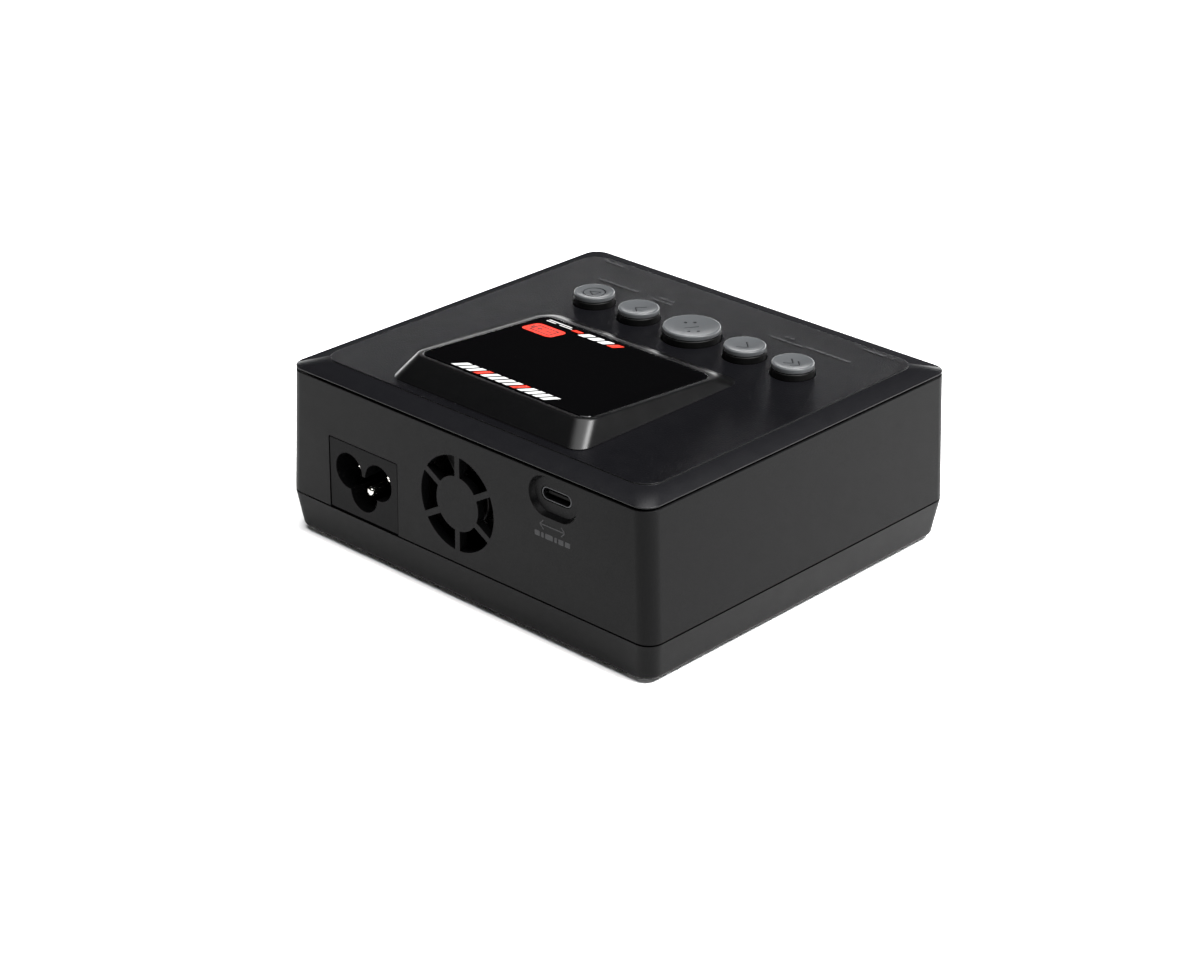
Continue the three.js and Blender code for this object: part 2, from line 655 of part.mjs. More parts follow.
const live = [LIVE_OFFSET_X, LIVE_OFFSET_Z];
const neutral = [-LIVE_OFFSET_X, LIVE_OFFSET_Z];
const earth = [0, EARTH_OFFSET_Z];

function inletBody() {
  const halfX = INLET_WIDTH / 2;
  const halfZ = INLET_HEIGHT / 2;
  const block = box(INLET_X - halfX, INLET_X + halfX, rearFace - INLET_DEPTH, rearFace,
    inletLevel - halfZ, inletLevel + halfZ);
  const cuts = [];
  for (const [x, z] of [live, neutral, earth]) {
    cuts.push(bar(LOBE_RADIUS, INLET_X + x, inletLevel + z, rearFace - INLET_SOCKET_DEPTH,
      rearFace + 1, 20));
    cuts.push(bar(PIN_RADIUS + GAP, INLET_X + x, inletLevel + z, rearFace - INLET_DEPTH - 1,
      rearFace, 10));
  }
  return build([block], cuts);
}

// A contact pin along Y with a rounded tip towards the rear.
function inletPin(recess) {
  const length = INLET_DEPTH + PIN_TAIL - recess;
  return turned([
    [0, -length],
    [PIN_RADIUS, -length],
    [PIN_RADIUS, -0.7],
    [PIN_RADIUS * 0.72, -0.2],
    [0, 0],
  ], 12);
}

function fanFrame() {
  const half = FAN_SIZE / 2;
  const duct = build(
    [box(FAN_X - half, FAN_X + half, fanRear, fanFront, fanLevel - half, fanLevel + half)],
    [bar(FAN_BORE_RADIUS, FAN_X, fanLevel, fanRear - 1, fanFront + 1, 28)],
  );
  const parts = [duct, bar(FAN_HUB_RADIUS, FAN_X, fanLevel, fanRear, fanRear + FAN_BASE)];
  for (let i = 0; i < FAN_ARMS; i += 1) {
    const arm = box(-FAN_ARM_WIDTH / 2, FAN_ARM_WIDTH / 2, 0, FAN_BASE, 0, FAN_BORE_RADIUS + JOIN);
    parts.push(arm.rotateY((i * 2 * Math.PI) / FAN_ARMS).translate(FAN_X, fanRear, fanLevel));
  }
  const bearing = bar(BEARING_RADIUS, FAN_X, fanLevel, fanRear, fanRear + BEARING_LENGTH);
  const bore = bar(FAN_SHAFT_RADIUS + GAP / 2, FAN_X, fanLevel, fanRear + FAN_BASE / 2, fanFront, 12);
  return build([...parts, bearing], [bore]);
}

// The rotor about its own Z axis: a cupped hub, pitched blades and the shaft.
function fanRotor() {
  const bladeSpan = 6;
  const hubTop = 3.4;
  const hubUnder = -3;
  const hub = turned([
    [0, hubUnder - 1.2],
    [FAN_SHAFT_RADIUS, hubUnder - 1.2],
    [FAN_SHAFT_RADIUS, hubTop - 1.2],
    [FAN_HUB_RADIUS - 1, hubTop - 1.2],
    [FAN_HUB_RADIUS - 1, hubUnder],
    [FAN_HUB_RADIUS, hubUnder],
    [FAN_HUB_RADIUS, hubTop - 0.5],
    [FAN_HUB_RADIUS - 0.5, hubTop],
    [0, hubTop],
  ], 20);
  const tip = FAN_BORE_RADIUS - 0.6;
  const parts = [hub];
  for (let i = 0; i < FAN_BLADES; i += 1) {
    const half = FAN_BLADE_THICKNESS / 2;
    const blade = box(FAN_HUB_RADIUS - 0.6, tip + 1, -half, half, -bladeSpan / 2, bladeSpan / 2);
    parts.push(blade.rotateX(FAN_BLADE_PITCH).rotateZ((i * 2 * Math.PI) / FAN_BLADES));
  }
  const envelope = solid(post(tip, 0, 0, hubUnder - 2, hubTop + 1, 28));
  return geometryOf(solid(build(parts)).intersect(envelope));
}

const portFace = rearFace - POCKET_DEPTH - 0.1;

function portShell() {
  const rear = portFace - PORT_LENGTH;
  const outer = wallPrism(stadium(PORT_WIDTH, PORT_HEIGHT), PORT_X, portLevel + GAP / 2, rear, portFace);
  const innerShape = stadium(PORT_WIDTH - 2 * PORT_SHEET, PORT_HEIGHT - 2 * PORT_SHEET);
  const inner = wallPrism(innerShape, PORT_X, portLevel + GAP / 2, rear + 1, portFace + 1);
  return build([outer], [inner]);
}

function portTongue() {
  const half = TONGUE_THICKNESS / 2;
  const level = portLevel + GAP / 2;
  return box(PORT_X - TONGUE_WIDTH / 2, PORT_X + TONGUE_WIDTH / 2,
    portFace - PORT_LENGTH + 1 + GAP, portFace - 0.9, level - half, level + half);
}

// ---------------------------------------------------------------- front wall pieces

function outputSocket() {
  const halfZ = OUTPUT_HEIGHT / 2;
  const face = roundedRect(OUTPUT_WIDTH / 2, halfZ, 2);
  const block = wallPrism(face, 0, 0, frontFace, frontFace + OUTPUT_DEPTH);
  const foot = box(-OUTPUT_WIDTH / 2 + 1, OUTPUT_WIDTH / 2 - 1, frontFace + WALL + 2 * GAP,
    frontFace + OUTPUT_DEPTH, mainBoardTop + GAP - channelLevel, 0);
  const cavityShape = roundedRect(OUTPUT_WIDTH / 2 - OUTPUT_WALL, halfZ - OUTPUT_WALL, 1);
  const cuts = [wallPrism(cavityShape, 0, 0, frontFace - 1, frontFace + OUTPUT_CAVITY_DEPTH)];
  for (const side of [-1, 1]) {
    const x = side * BLADE_OFFSET;
    const halfX = BLADE_THICKNESS / 2 + GAP;
    const bladeZ = BLADE_HEIGHT / 2 + GAP;
    cuts.push(box(x - halfX, x + halfX, frontFace, frontFace + OUTPUT_DEPTH + 1, -bladeZ, bladeZ));
  }
  return build([block, foot], cuts);
}

function balancePort() {
  const halfX = balanceWidth / 2;
  const halfZ = BALANCE_HEIGHT / 2;
  const block = box(-halfX, halfX, frontFace, frontFace + BALANCE_DEPTH, -halfZ, halfZ);
  const foot = box(-halfX + 1, halfX - 1, frontFace + WALL + 2 * GAP, frontFace + BALANCE_DEPTH,
    mainBoardTop + GAP - channelLevel, 0);
  const cavity = box(-halfX + BALANCE_WALL, halfX - BALANCE_WALL, frontFace - 1,
    frontFace + BALANCE_CAVITY_DEPTH, -halfZ + BALANCE_WALL, halfZ - BALANCE_WALL);
  const pinRoom = balanceReach + BALANCE_PIN / 2 + GAP;
  const slot = box(-pinRoom, pinRoom, frontFace + 1, frontFace + BALANCE_DEPTH + 1,
    -BALANCE_PIN / 2 - GAP, BALANCE_PIN / 2 + GAP);
  return build([block, foot], [cavity, slot]);
}

// The balance pins, carried by one strip behind the housing.
function balancePins() {
  const half = BALANCE_PIN / 2;
  const strip = frontFace + BALANCE_CAVITY_DEPTH + 1;
  const parts = [box(-balanceReach, balanceReach, strip, strip + BALANCE_STRIP, -half, half)];
  for (let i = 0; i < BALANCE_PINS; i += 1) {
    const x = i * BALANCE_PITCH - balanceReach;
    parts.push(box(x - half, x + half, frontFace + BALANCE_PIN_RECESS,
      strip + BALANCE_STRIP + BALANCE_TAIL, -half, half));
  }
  return build(parts);
}

// ---------------------------------------------------------------- boards and power parts

const boardPlate = (halfX, halfY, z0) => box(-halfX, halfX, -halfY, halfY, z0, z0 + BOARD);

function controlBoard() {
  const z0 = controlBoardTop - BOARD;
  const notch = (x, halfX, y) => box(x - halfX, x + halfX, y, halfTopY, z0 - 1, z0 + BOARD + 1);
  return build([boardPlate(boardHalfX, controlBoardHalfY, z0)], [
    notch(FAN_X, FAN_SIZE / 2 + 1, fanRear - 1.5),
    notch(INLET_X, halfTopX - INLET_X, rearFace - INLET_DEPTH - PIN_TAIL - 1),
  ]);
}

// A pair of E-shaped ferrite halves, drawn as one core with two windows.
function transformerCore() {
  const halfX = CORE_WIDTH / 2;
  const halfY = CORE_DEPTH / 2;
  const cuts = [-1, 1].map((side) => {
    const inner = side * (CORE_LEG / 2 + 0.5);
    const outer = side * (halfX - CORE_LEG / 2);
    return box(Math.min(inner, outer), Math.max(inner, outer), -halfY - 1, halfY + 1,
      CORE_LEG / 2, tallPart - CORE_LEG / 2);
  });
  return build([box(-halfX, halfX, -halfY, halfY, 0, tallPart)], cuts);
}

function transformerWinding() {
  const legX = CORE_LEG / 2 + 0.5 + GAP;
  const outX = CORE_WIDTH / 2 - CORE_LEG / 2 - GAP;
  const legY = CORE_DEPTH / 2 + GAP;
  const [z0, z1] = [CORE_LEG / 2 + GAP, tallPart - CORE_LEG / 2 - GAP];
  return build(
    [prism(roundedRect(outX, legY + 3.5, 3), z0, z1)],
    [box(-legX, legX, -legY, legY, z0 - 1, z1 + 1)],
  );
}

function heatSink() {
  const plate = box(-1, 1, -SINK_LENGTH / 2, SINK_LENGTH / 2, 0, sinkHeight);
  const parts = [plate];
  const pitch = (SINK_LENGTH - 1.2) / (SINK_FINS - 1);
  for (let i = 0; i < SINK_FINS; i += 1) {
    const y = i * pitch - SINK_LENGTH / 2;
    parts.push(box(0, 1 + SINK_FIN_DEPTH, y, y + 1.2, 0, sinkHeight));
  }
  return build(parts);
}

const capacitorCan = () => turned([
  [0, 0],
  [CAPACITOR_RADIUS, 0],
  [CAPACITOR_RADIUS, 1.6],
  [CAPACITOR_RADIUS - 0.5, 2.2],
  [CAPACITOR_RADIUS, 2.8],
  [CAPACITOR_RADIUS, tallPart - 0.6],
  [CAPACITOR_RADIUS - 0.6, tallPart],
  [0, tallPart],
], 16);

// A wound ring lying flat.
function woundRing(outer, inner, height) {
  const round = 0.8;
  const profile = [
    [inner, round],
    [inner + round, 0],
    [outer - round, 0],
    [outer, round],
    [outer, height - round],
    [outer - round, height],
    [inner + round, height],
    [inner, height - round],
    [inner, round],
  ];
  return turned(profile, 16);
}

// ---------------------------------------------------------------- assembly

addMesh('base_tray', baseTray(), 'casePlastic');
addMesh('mid_housing', midHousing(), 'casePlastic');
addMesh('top_cover', topCover(), 'casePlastic');
addMesh('display_bezel', displayBezel(), 'bezelPlastic');
addMesh('display_lens', tiltedBlock(lensHalfX, lensHalfY, LENS_CORNER, 0.05, LENS_THICKNESS), 'lensGlass');

const lcdTop = LENS_THICKNESS + GAP;
const lcd = tiltedBlock(windowHalfX - LCD_MARGIN, windowHalfY - LCD_MARGIN, 0.6, lcdTop,
  lcdTop + LCD_THICKNESS);
addMesh('lcd_module', lcd, 'display');

KEY_X.forEach((x, index) => {
  const radius = index === ENTER_KEY ? ENTER_KEY_RADIUS : KEY_RADIUS;
  const key = new THREE.Group();
  key.position.set(x, KEY_Y, panelTop);
  charger.add(key);
  addMesh(`button_${index + 1}_skirt`, keySkirt(radius + SKIRT_PROUD), 'skirtBlack', key);
  const cap = addMesh(`button_${index + 1}_cap`, keyCap(radius), 'keyGrey', key);
  cap.position.z = capUnder - panelTop;
  const keySwitchMesh = addMesh(`button_switch_${index + 1}`, keySwitch(), 'socketBlack');
  keySwitchMesh.position.set(x, KEY_Y, controlBoardTop + PART_GAP);
});

addMesh('control_board', controlBoard(), 'board');
const mainBoard = boardPlate(boardHalfX, mainBoardHalfY, mainBoardTop - BOARD);
addMesh('main_board', mainBoard, 'board');

addMesh('fan_frame', fanFrame(), 'fanPlastic');
const rotor = addMesh('fan_rotor', fanRotor(), 'fanPlastic');
rotor.rotation.x = -Math.PI / 2;
rotor.position.set(FAN_X, fanFront - ROTOR_DEPTH, fanLevel);

addMesh('ac_inlet_body', inletBody(), 'socketBlack');
const pins = [
  ['inlet_pin_live', live, LIVE_PIN_RECESS],
  ['inlet_pin_neutral', neutral, LIVE_PIN_RECESS],
  ['inlet_pin_earth', earth, EARTH_PIN_RECESS],
];
for (const [name, [x, z], recess] of pins) {
  const pin = addMesh(name, inletPin(recess), 'steel');
  pin.rotation.x = -Math.PI / 2;
  pin.position.set(INLET_X + x, rearFace - recess, inletLevel + z);
}
addMesh('data_port_shell', portShell(), 'steel');
addMesh('data_port_tongue', portTongue(), 'socketBlack');

for (const [side, label] of [[-1, 'left'], [1, 'right']]) {
  const channel = new THREE.Group();
  channel.position.set(0, 0, channelLevel);
  charger.add(channel);
  addMesh(`output_socket_${label}`, outputSocket(), 'socketBlack', channel).position.x = side * OUTPUT_X;
  for (const [bladeSide, pole] of [[-1, 'negative'], [1, 'positive']]) {
    const half = BLADE_THICKNESS / 2;
    const blade = box(-half, half, frontFace + BLADE_RECESS, frontFace + OUTPUT_DEPTH + 3,
      -BLADE_HEIGHT / 2, BLADE_HEIGHT / 2);
    const mesh = addMesh(`output_blade_${label}_${pole}`, blade, 'brass', channel);
    mesh.position.x = side * OUTPUT_X + bladeSide * BLADE_OFFSET;
  }
  addMesh(`balance_port_${label}`, balancePort(), 'socketBlack', channel).position.x = side * BALANCE_X;
  addMesh(`balance_pins_${label}`, balancePins(), 'brass', channel).position.x = side * BALANCE_X;
}

addMesh('transformer_core', transformerCore(), 'ferrite').position.set(TRANSFORMER_X, TRANSFORMER_Y, onBoard);
addMesh('transformer_winding', transformerWinding(), 'windingTape')
  .position.set(TRANSFORMER_X, TRANSFORMER_Y, onBoard);
addMesh('bulk_capacitor', capacitorCan(), 'sleeve').position.set(CAPACITOR_X, CAPACITOR_Y, onBoard);
addMesh('rectifier_heat_sink', heatSink(), 'aluminium').position.set(RECTIFIER_SINK_X, 0, onBoard);
addMesh('output_heat_sink', heatSink(), 'aluminium').position.set(OUTPUT_SINK_X, 0, onBoard);
addMesh('input_choke', woundRing(CHOKE_RADIUS, CHOKE_BORE, CHOKE_WIDTH), 'copper')
  .position.set(CHOKE_X, CHOKE_Y, onBoard);
addMesh('input_fuse', bar(FUSE_RADIUS, 0, FUSE_RADIUS, -FUSE_LENGTH / 2, FUSE_LENGTH / 2), 'sleeve')
  .position.set(FUSE_X, FUSE_Y, onBoard);
for (const [side, label] of [[-1, 'left'], [1, 'right']]) {
  const inductor = woundRing(INDUCTOR_RADIUS, INDUCTOR_BORE, INDUCTOR_WIDTH);
  addMesh(`output_inductor_${label}`, inductor, 'copper')
    .position.set(side * OUTPUT_X, INDUCTOR_Y, onBoard);
}
addMesh('buzzer', post(BUZZER_RADIUS, 0, 0, 0, BUZZER_HEIGHT, 16), 'socketBlack')
  .position.set(BUZZER_X, BUZZER_Y, controlBoardTop + PART_GAP);

corners.forEach(([sx, sy], index) => {
  const foot = turned([
    [0, 0],
    [FOOT_RADIUS - 0.5, 0],
    [FOOT_RADIUS, 0.5],
    [FOOT_RADIUS, FOOT_DROP + FOOT_SINK - PART_GAP],
    [0, FOOT_DROP + FOOT_SINK - PART_GAP],
  ], 16);
  addMesh(`foot_${index + 1}`, foot, 'rubber').position.set(sx * FOOT_X, sy * FOOT_Y, 0);

  const seat = trayBottom + COUNTERBORE - SCREW_HEAD_HEIGHT - PART_GAP;
  const length = topSeam - SCREW_END - seat;
  const screw = turned([
    [0, 0],
    [SCREW_HEAD_RADIUS - 0.3, 0],
    [SCREW_HEAD_RADIUS, 0.3],
    [SCREW_HEAD_RADIUS, SCREW_HEAD_HEIGHT],
    [SCREW_RADIUS, SCREW_HEAD_HEIGHT],
    [SCREW_RADIUS, length - 1],
    [0, length],
  ], 12);
  const [long, thin] = [DRIVE_LENGTH / 2, DRIVE_WIDTH / 2];
  const slots = [box(-long, long, -thin, thin, -1, 1), box(-thin, thin, -long, long, -1, 1)];
  addMesh(`case_screw_${index + 1}`, build([screw], slots), 'steel')
    .position.set(sx * screwX, sy * screwY, seat);
});

export default charger;
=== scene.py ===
# %% [markdown]
# # A desktop balance charger for model batteries
# The charger is a low black box in three mouldings: a tray, a housing with the sockets in
# it, and a cover that carries a tilted display and five round keys. The CAD model gives
# every place and size. This lesson models the surfaces that a person sees, and gives each
# one its finish.

import math

import bmesh
import bpy
from mathutils import Matrix, Vector


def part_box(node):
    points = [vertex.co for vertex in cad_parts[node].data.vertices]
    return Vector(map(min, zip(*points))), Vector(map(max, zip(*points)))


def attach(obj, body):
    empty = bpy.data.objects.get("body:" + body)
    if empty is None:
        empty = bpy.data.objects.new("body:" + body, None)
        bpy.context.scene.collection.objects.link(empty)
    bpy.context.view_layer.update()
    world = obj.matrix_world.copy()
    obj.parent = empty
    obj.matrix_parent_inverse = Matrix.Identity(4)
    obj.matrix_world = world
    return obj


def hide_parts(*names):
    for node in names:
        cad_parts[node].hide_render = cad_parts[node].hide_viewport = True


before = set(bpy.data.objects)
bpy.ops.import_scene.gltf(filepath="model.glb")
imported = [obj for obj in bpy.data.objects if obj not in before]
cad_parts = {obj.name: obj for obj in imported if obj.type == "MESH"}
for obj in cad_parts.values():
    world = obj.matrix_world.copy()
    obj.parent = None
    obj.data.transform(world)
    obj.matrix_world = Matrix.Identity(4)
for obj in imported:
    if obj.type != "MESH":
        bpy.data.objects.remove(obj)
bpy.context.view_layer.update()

# %% [markdown]
# The charger is symmetrical enough for a few measures to place everything: the two seams,
# the top of the raised panel and the half sizes of the case. They come from the CAD nodes,
# so a change there moves the looks with it. A small helper gives the corners, the middle and
# the half size of any node.

# %% Main measures
MM = 0.001
GAP = 0.3 * MM
WALL = 2.2 * MM
tray_low, tray_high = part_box("base_tray")
housing_low, housing_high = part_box("mid_housing")
cover_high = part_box("top_cover")[1]
low_seam = (tray_high.z + housing_low.z) / 2
top_seam = housing_high.z + GAP / 2
panel_top = cover_high.z
half_x, half_y = cover_high.x, cover_high.y
side_flare = housing_high.x - half_x
end_flare = housing_high.y - half_y
rear_face = half_y
front_face = -half_y
lean = end_flare / (housing_high.z - housing_low.z)  # of the front and rear walls


def place_of(name):
    """The low corner, high corner, middle and half size of a CAD node."""
    low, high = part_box(name)
    return low, high, (low + high) / 2, (high - low) / 2


print("seams at", round(low_seam / MM, 2), "and", round(top_seam / MM, 2), "mm")

# %% [markdown]
# ## Camera
# A long lens from behind the charger, a little above it, keeps the box's sides nearly
# parallel. The camera is aimed with a quaternion and then rolled by half a degree.

# %% Camera
CAMERA_PLACE = Vector((-416.99, 455.54, 307.25)) * MM
CAMERA_TARGET = Vector((-13.14, 20.47, 25.0)) * MM
CAMERA_ROLL = math.radians(0.503)
CAMERA_SENSOR = 36  # this and the lens are in millimetres
CAMERA_LENS = 85.41
CAMERA_NEAR = 10 * MM
camera = bpy.data.objects.new("camera", bpy.data.cameras.new("camera"))
camera.data.sensor_width = CAMERA_SENSOR
camera.data.lens = CAMERA_LENS
camera.data.clip_start = CAMERA_NEAR
aim = (CAMERA_TARGET - CAMERA_PLACE).to_track_quat("-Z", "Y").to_matrix().to_4x4()
camera.matrix_world = Matrix.Translation(CAMERA_PLACE) @ aim @ Matrix.Rotation(CAMERA_ROLL, 4, "Z")
bpy.context.scene.collection.objects.link(camera)
bpy.context.scene.camera = camera
print("camera", round((CAMERA_TARGET - CAMERA_PLACE).length, 3), "m from the middle")

# %% [markdown]
# ## Floor and light
# Black plastic shows only what it reflects, so the light is arranged by direction: a pale
# floor, a bright low backdrop in front of the charger, a dark zone above it and one large
# soft light overhead. The world's nodes grade the sky by the height of each direction. A
# glow lies low on one side, which lifts the charger's side wall above its rear wall, and a
# pale surround closes the rest of the horizon. A second lamp lights the floor beside the
# charger, and the side wall mirrors that floor.

# %% Small node helpers
def node(tree, kind, place, **values):
    """A node whose values go to its inputs where it has them, and else to its settings."""
    made = tree.nodes.new(kind)
    made.location = place
    for name, value in values.items():
        if name in made.inputs:
            made.inputs[name].default_value = value
        else:
            setattr(made, name, value)
    return made


def ramp(tree, place, source, stops):
    """A grey ramp over the source, from (position, value) stops."""
    made = node(tree, "ShaderNodeValToRGB", place)
    elements = made.color_ramp.elements
    while len(elements) < len(stops):
        elements.new(0.5)
    for element, (position, value) in zip(elements, stops):
        element.position = position
        element.color = (value, value, value, 1)
    tree.links.new(source, made.inputs["Fac"])
    return made.outputs["Color"]


def maths(tree, place, operation, first, second):
    made = node(tree, "ShaderNodeMath", place, operation=operation)
    tree.links.new(first, made.inputs[0])
    tree.links.new(second, made.inputs[1])
    return made.outputs[0]


def toward(tree, place, source, side):
    """How far a direction points to one side, from -1 to 1."""
    made = node(tree, "ShaderNodeVectorMath", place, operation="DOT_PRODUCT")
    tree.links.new(source, made.inputs[0])
    made.inputs[1].default_value = side
    return made.outputs["Value"]


# %% World light
SKY_SCALE = 14.0  # the ramps' values times this are the sky's radiance
BACKDROP_SIDE = (0.68, -0.73, 0.0)
GLOW_SIDE = (-0.80, -0.60, 0.0)
sky = bpy.data.worlds.new("studio")
sky.use_nodes = True
tree = sky.node_tree
tree.nodes.clear()
direction = node(tree, "ShaderNodeTexCoord", (-900, 0)).outputs["Generated"]
split = node(tree, "ShaderNodeSeparateXYZ", (-700, 0))
tree.links.new(direction, split.inputs[0])
upward = split.outputs["Z"]
height = ramp(tree, (-450, 120), upward, [
    (0.0, 1.0), (0.07, 0.90), (0.105, 0.04), (0.13, 0.0015), (0.80, 0.0015), (1.0, 0.02),
])
sideways = toward(tree, (-700, -260), direction, GLOW_SIDE)
glow = ramp(tree, (-450, -260), sideways, [(0.0, 0.0), (0.35, 0.03), (0.8, 0.9)])
low = ramp(tree, (-450, -520), upward, [(0.0, 1.0), (0.10, 0.8), (0.25, 0.0)])
low_glow = maths(tree, (-150, -380), "MULTIPLY", glow, low)
away = toward(tree, (-700, 400), direction, BACKDROP_SIDE)
backdrop = ramp(tree, (-450, 400), away, [(0.0, 0.0), (0.5, 0.08), (0.85, 1.0)])
graded = maths(tree, (-150, 260), "MULTIPLY", height, backdrop)
pale = ramp(tree, (-450, 680), away, [(0.0, 0.11), (0.55, 0.11), (0.8, 0.0)])
pale_height = ramp(tree, (-450, 940), upward, [(0.0, 1.0), (0.17, 1.0), (0.22, 0.0)])
around = maths(tree, (-150, 800), "MULTIPLY", pale, pale_height)
both = maths(tree, (-50, 500), "ADD", graded, around)
total = maths(tree, (50, 0), "ADD", both, low_glow)
background = node(tree, "ShaderNodeBackground", (400, 0))
strength = node(tree, "ShaderNodeMath", (230, -160), operation="MULTIPLY")
strength.inputs[1].default_value = SKY_SCALE
tree.links.new(total, strength.inputs[0])
tree.links.new(strength.outputs[0], background.inputs["Strength"])
world_out = node(tree, "ShaderNodeOutputWorld", (600, 0))
tree.links.new(background.outputs[0], world_out.inputs["Surface"])
bpy.context.scene.world = sky


# %% Lamps
def soft_light(name, place, target, width, depth, watts):
    lamp = bpy.data.lights.new(name, "AREA")
    lamp.shape = "RECTANGLE"
    lamp.size = width
    lamp.size_y = depth
    lamp.energy = watts
    made = bpy.data.objects.new(name, lamp)
    turn = (Vector(target) - Vector(place)).to_track_quat("-Z", "Y").to_matrix().to_4x4()
    made.matrix_world = Matrix.Translation(place) @ turn
    bpy.context.scene.collection.objects.link(made)
    return made


soft_light("overhead", (-0.22, 0.04, 1.5), (0, 0, 0), 1.45, 1.45, 66)
soft_light("side_card", (-0.9, -0.15, 1.3), (-0.4, -0.05, 0), 0.5, 0.5, 62)
scene = bpy.context.scene
scene.view_settings.view_transform = "Standard"


# %% [markdown]
# ## Materials
# Each finish is a Principled shader with its own grain. Moulded cases get their look from a
# spark-eroded mould: a fine random bump and a small change of gloss from place to place.
# Both come from noise on Object coordinates, which are metres here, so a scale of 3000 gives
# grains of about a third of a millimetre.

# %% Finish helper
GRAIN_HEIGHT = 0.08 * MM
BROAD_SHARE = 1 / 12  # scale of the gloss noise as a share of the grain's


def finish(name, color, roughness, grain=0.0, grain_scale=3000.0, gloss_change=0.0,
           tone_change=0.0, **sockets):
    """A shader with noise in its bump, its gloss and its tone."""
    material = bpy.data.materials.new(name)
    material.use_nodes = True
    tree = material.node_tree
    shader = tree.nodes["Principled BSDF"]
    shader.inputs["Roughness"].default_value = roughness
    for socket, value in sockets.items():
        shader.inputs[socket.replace("_", " ")].default_value = value
    place = node(tree, "ShaderNodeTexCoord", (-1100, 0))
    fine = node(tree, "ShaderNodeTexNoise", (-850, -200), Scale=grain_scale, Detail=2.0)
    tree.links.new(place.outputs["Object"], fine.inputs["Vector"])
    broad = node(tree, "ShaderNodeTexNoise", (-850, 200), Scale=grain_scale * BROAD_SHARE, Detail=3.0)
    tree.links.new(place.outputs["Object"], broad.inputs["Vector"])
    tone = node(tree, "ShaderNodeMapRange", (-560, 260))
    tone.inputs["To Min"].default_value = 1 - tone_change
    tone.inputs["To Max"].default_value = 1 + tone_change
    tree.links.new(fine.outputs["Fac"], tone.inputs["Value"])
    tint = node(tree, "ShaderNodeVectorMath", (-330, 260), operation="SCALE")
    tint.inputs[0].default_value = color
    tree.links.new(tone.outputs["Result"], tint.inputs["Scale"])
    tree.links.new(tint.outputs["Vector"], shader.inputs["Base Color"])
    gloss = node(tree, "ShaderNodeMapRange", (-560, 0))
    gloss.inputs["To Min"].default_value = roughness - gloss_change
    gloss.inputs["To Max"].default_value = roughness + gloss_change
    tree.links.new(broad.outputs["Fac"], gloss.inputs["Value"])
    tree.links.new(gloss.outputs["Result"], shader.inputs["Roughness"])
    bump = node(tree, "ShaderNodeBump", (-330, -240), Strength=grain, Distance=GRAIN_HEIGHT)
    tree.links.new(fine.outputs["Fac"], bump.inputs["Height"])
    tree.links.new(bump.outputs["Normal"], shader.inputs["Normal"])
    return material


# %% Finishes
case_black = finish("case_black", (0.0016, 0.0016, 0.0017), 0.42, grain=0.3,
                    gloss_change=0.05, tone_change=0.3, Specular_IOR_Level=0.048)
band_black = finish("band_black", (0.0026, 0.0026, 0.0032), 0.36, grain=0.2,
                    gloss_change=0.05, tone_change=0.2, Specular_IOR_Level=0.12)
# A shaded copy of the band's finish, flat and without reflection: painted shade for the band's slopes
# at the front and on the right.
band_painted_shade = finish("band_painted_shade", (0.0065, 0.0065, 0.0072), 0.7, grain=0.2,
                   tone_change=0.2, Specular_IOR_Level=0.0)
panel_grain = finish("panel_grain", (0.0014, 0.0014, 0.0019), 0.34, grain=0.7,
                     grain_scale=2400.0, gloss_change=0.06, tone_change=0.8,
                     Specular_IOR_Level=0.16)
frame_gloss = finish("frame_gloss", (0.0012, 0.0012, 0.0013), 0.32, grain=0.1,
                     gloss_change=0.03, tone_change=0.1, Specular_IOR_Level=0.13)
glass_black = finish("glass_black", (0.0004, 0.0004, 0.0005), 0.03, grain=0.01,
                     gloss_change=0.01, tone_change=0.1, Specular_IOR_Level=0.25)
key_grey = finish("key_grey", (0.038, 0.040, 0.042), 0.36, grain=0.1,
                  gloss_change=0.06, tone_change=0.06, Specular_IOR_Level=0.25)
key_ink = finish("key_ink", (0.006, 0.006, 0.007), 0.6, tone_change=0.2,
                 Specular_IOR_Level=0.2)
skirt_black = finish("skirt_black", (0.0012, 0.0012, 0.0012), 0.5, grain=0.1,
                     gloss_change=0.05, tone_change=0.2, Specular_IOR_Level=0.08)
socket_black = finish("socket_black", (0.0014, 0.0014, 0.0015), 0.36, grain=0.2,
                      gloss_change=0.05, tone_change=0.2, Specular_IOR_Level=0.03)
fan_black = finish("fan_black", (0.0016, 0.0012, 0.0012), 0.4, grain=0.1,
                   gloss_change=0.05, tone_change=0.2, Specular_IOR_Level=0.1)
nickel = finish("nickel", (0.72, 0.70, 0.66), 0.2, grain=0.05, gloss_change=0.05,
                tone_change=0.04, Metallic=1.0)
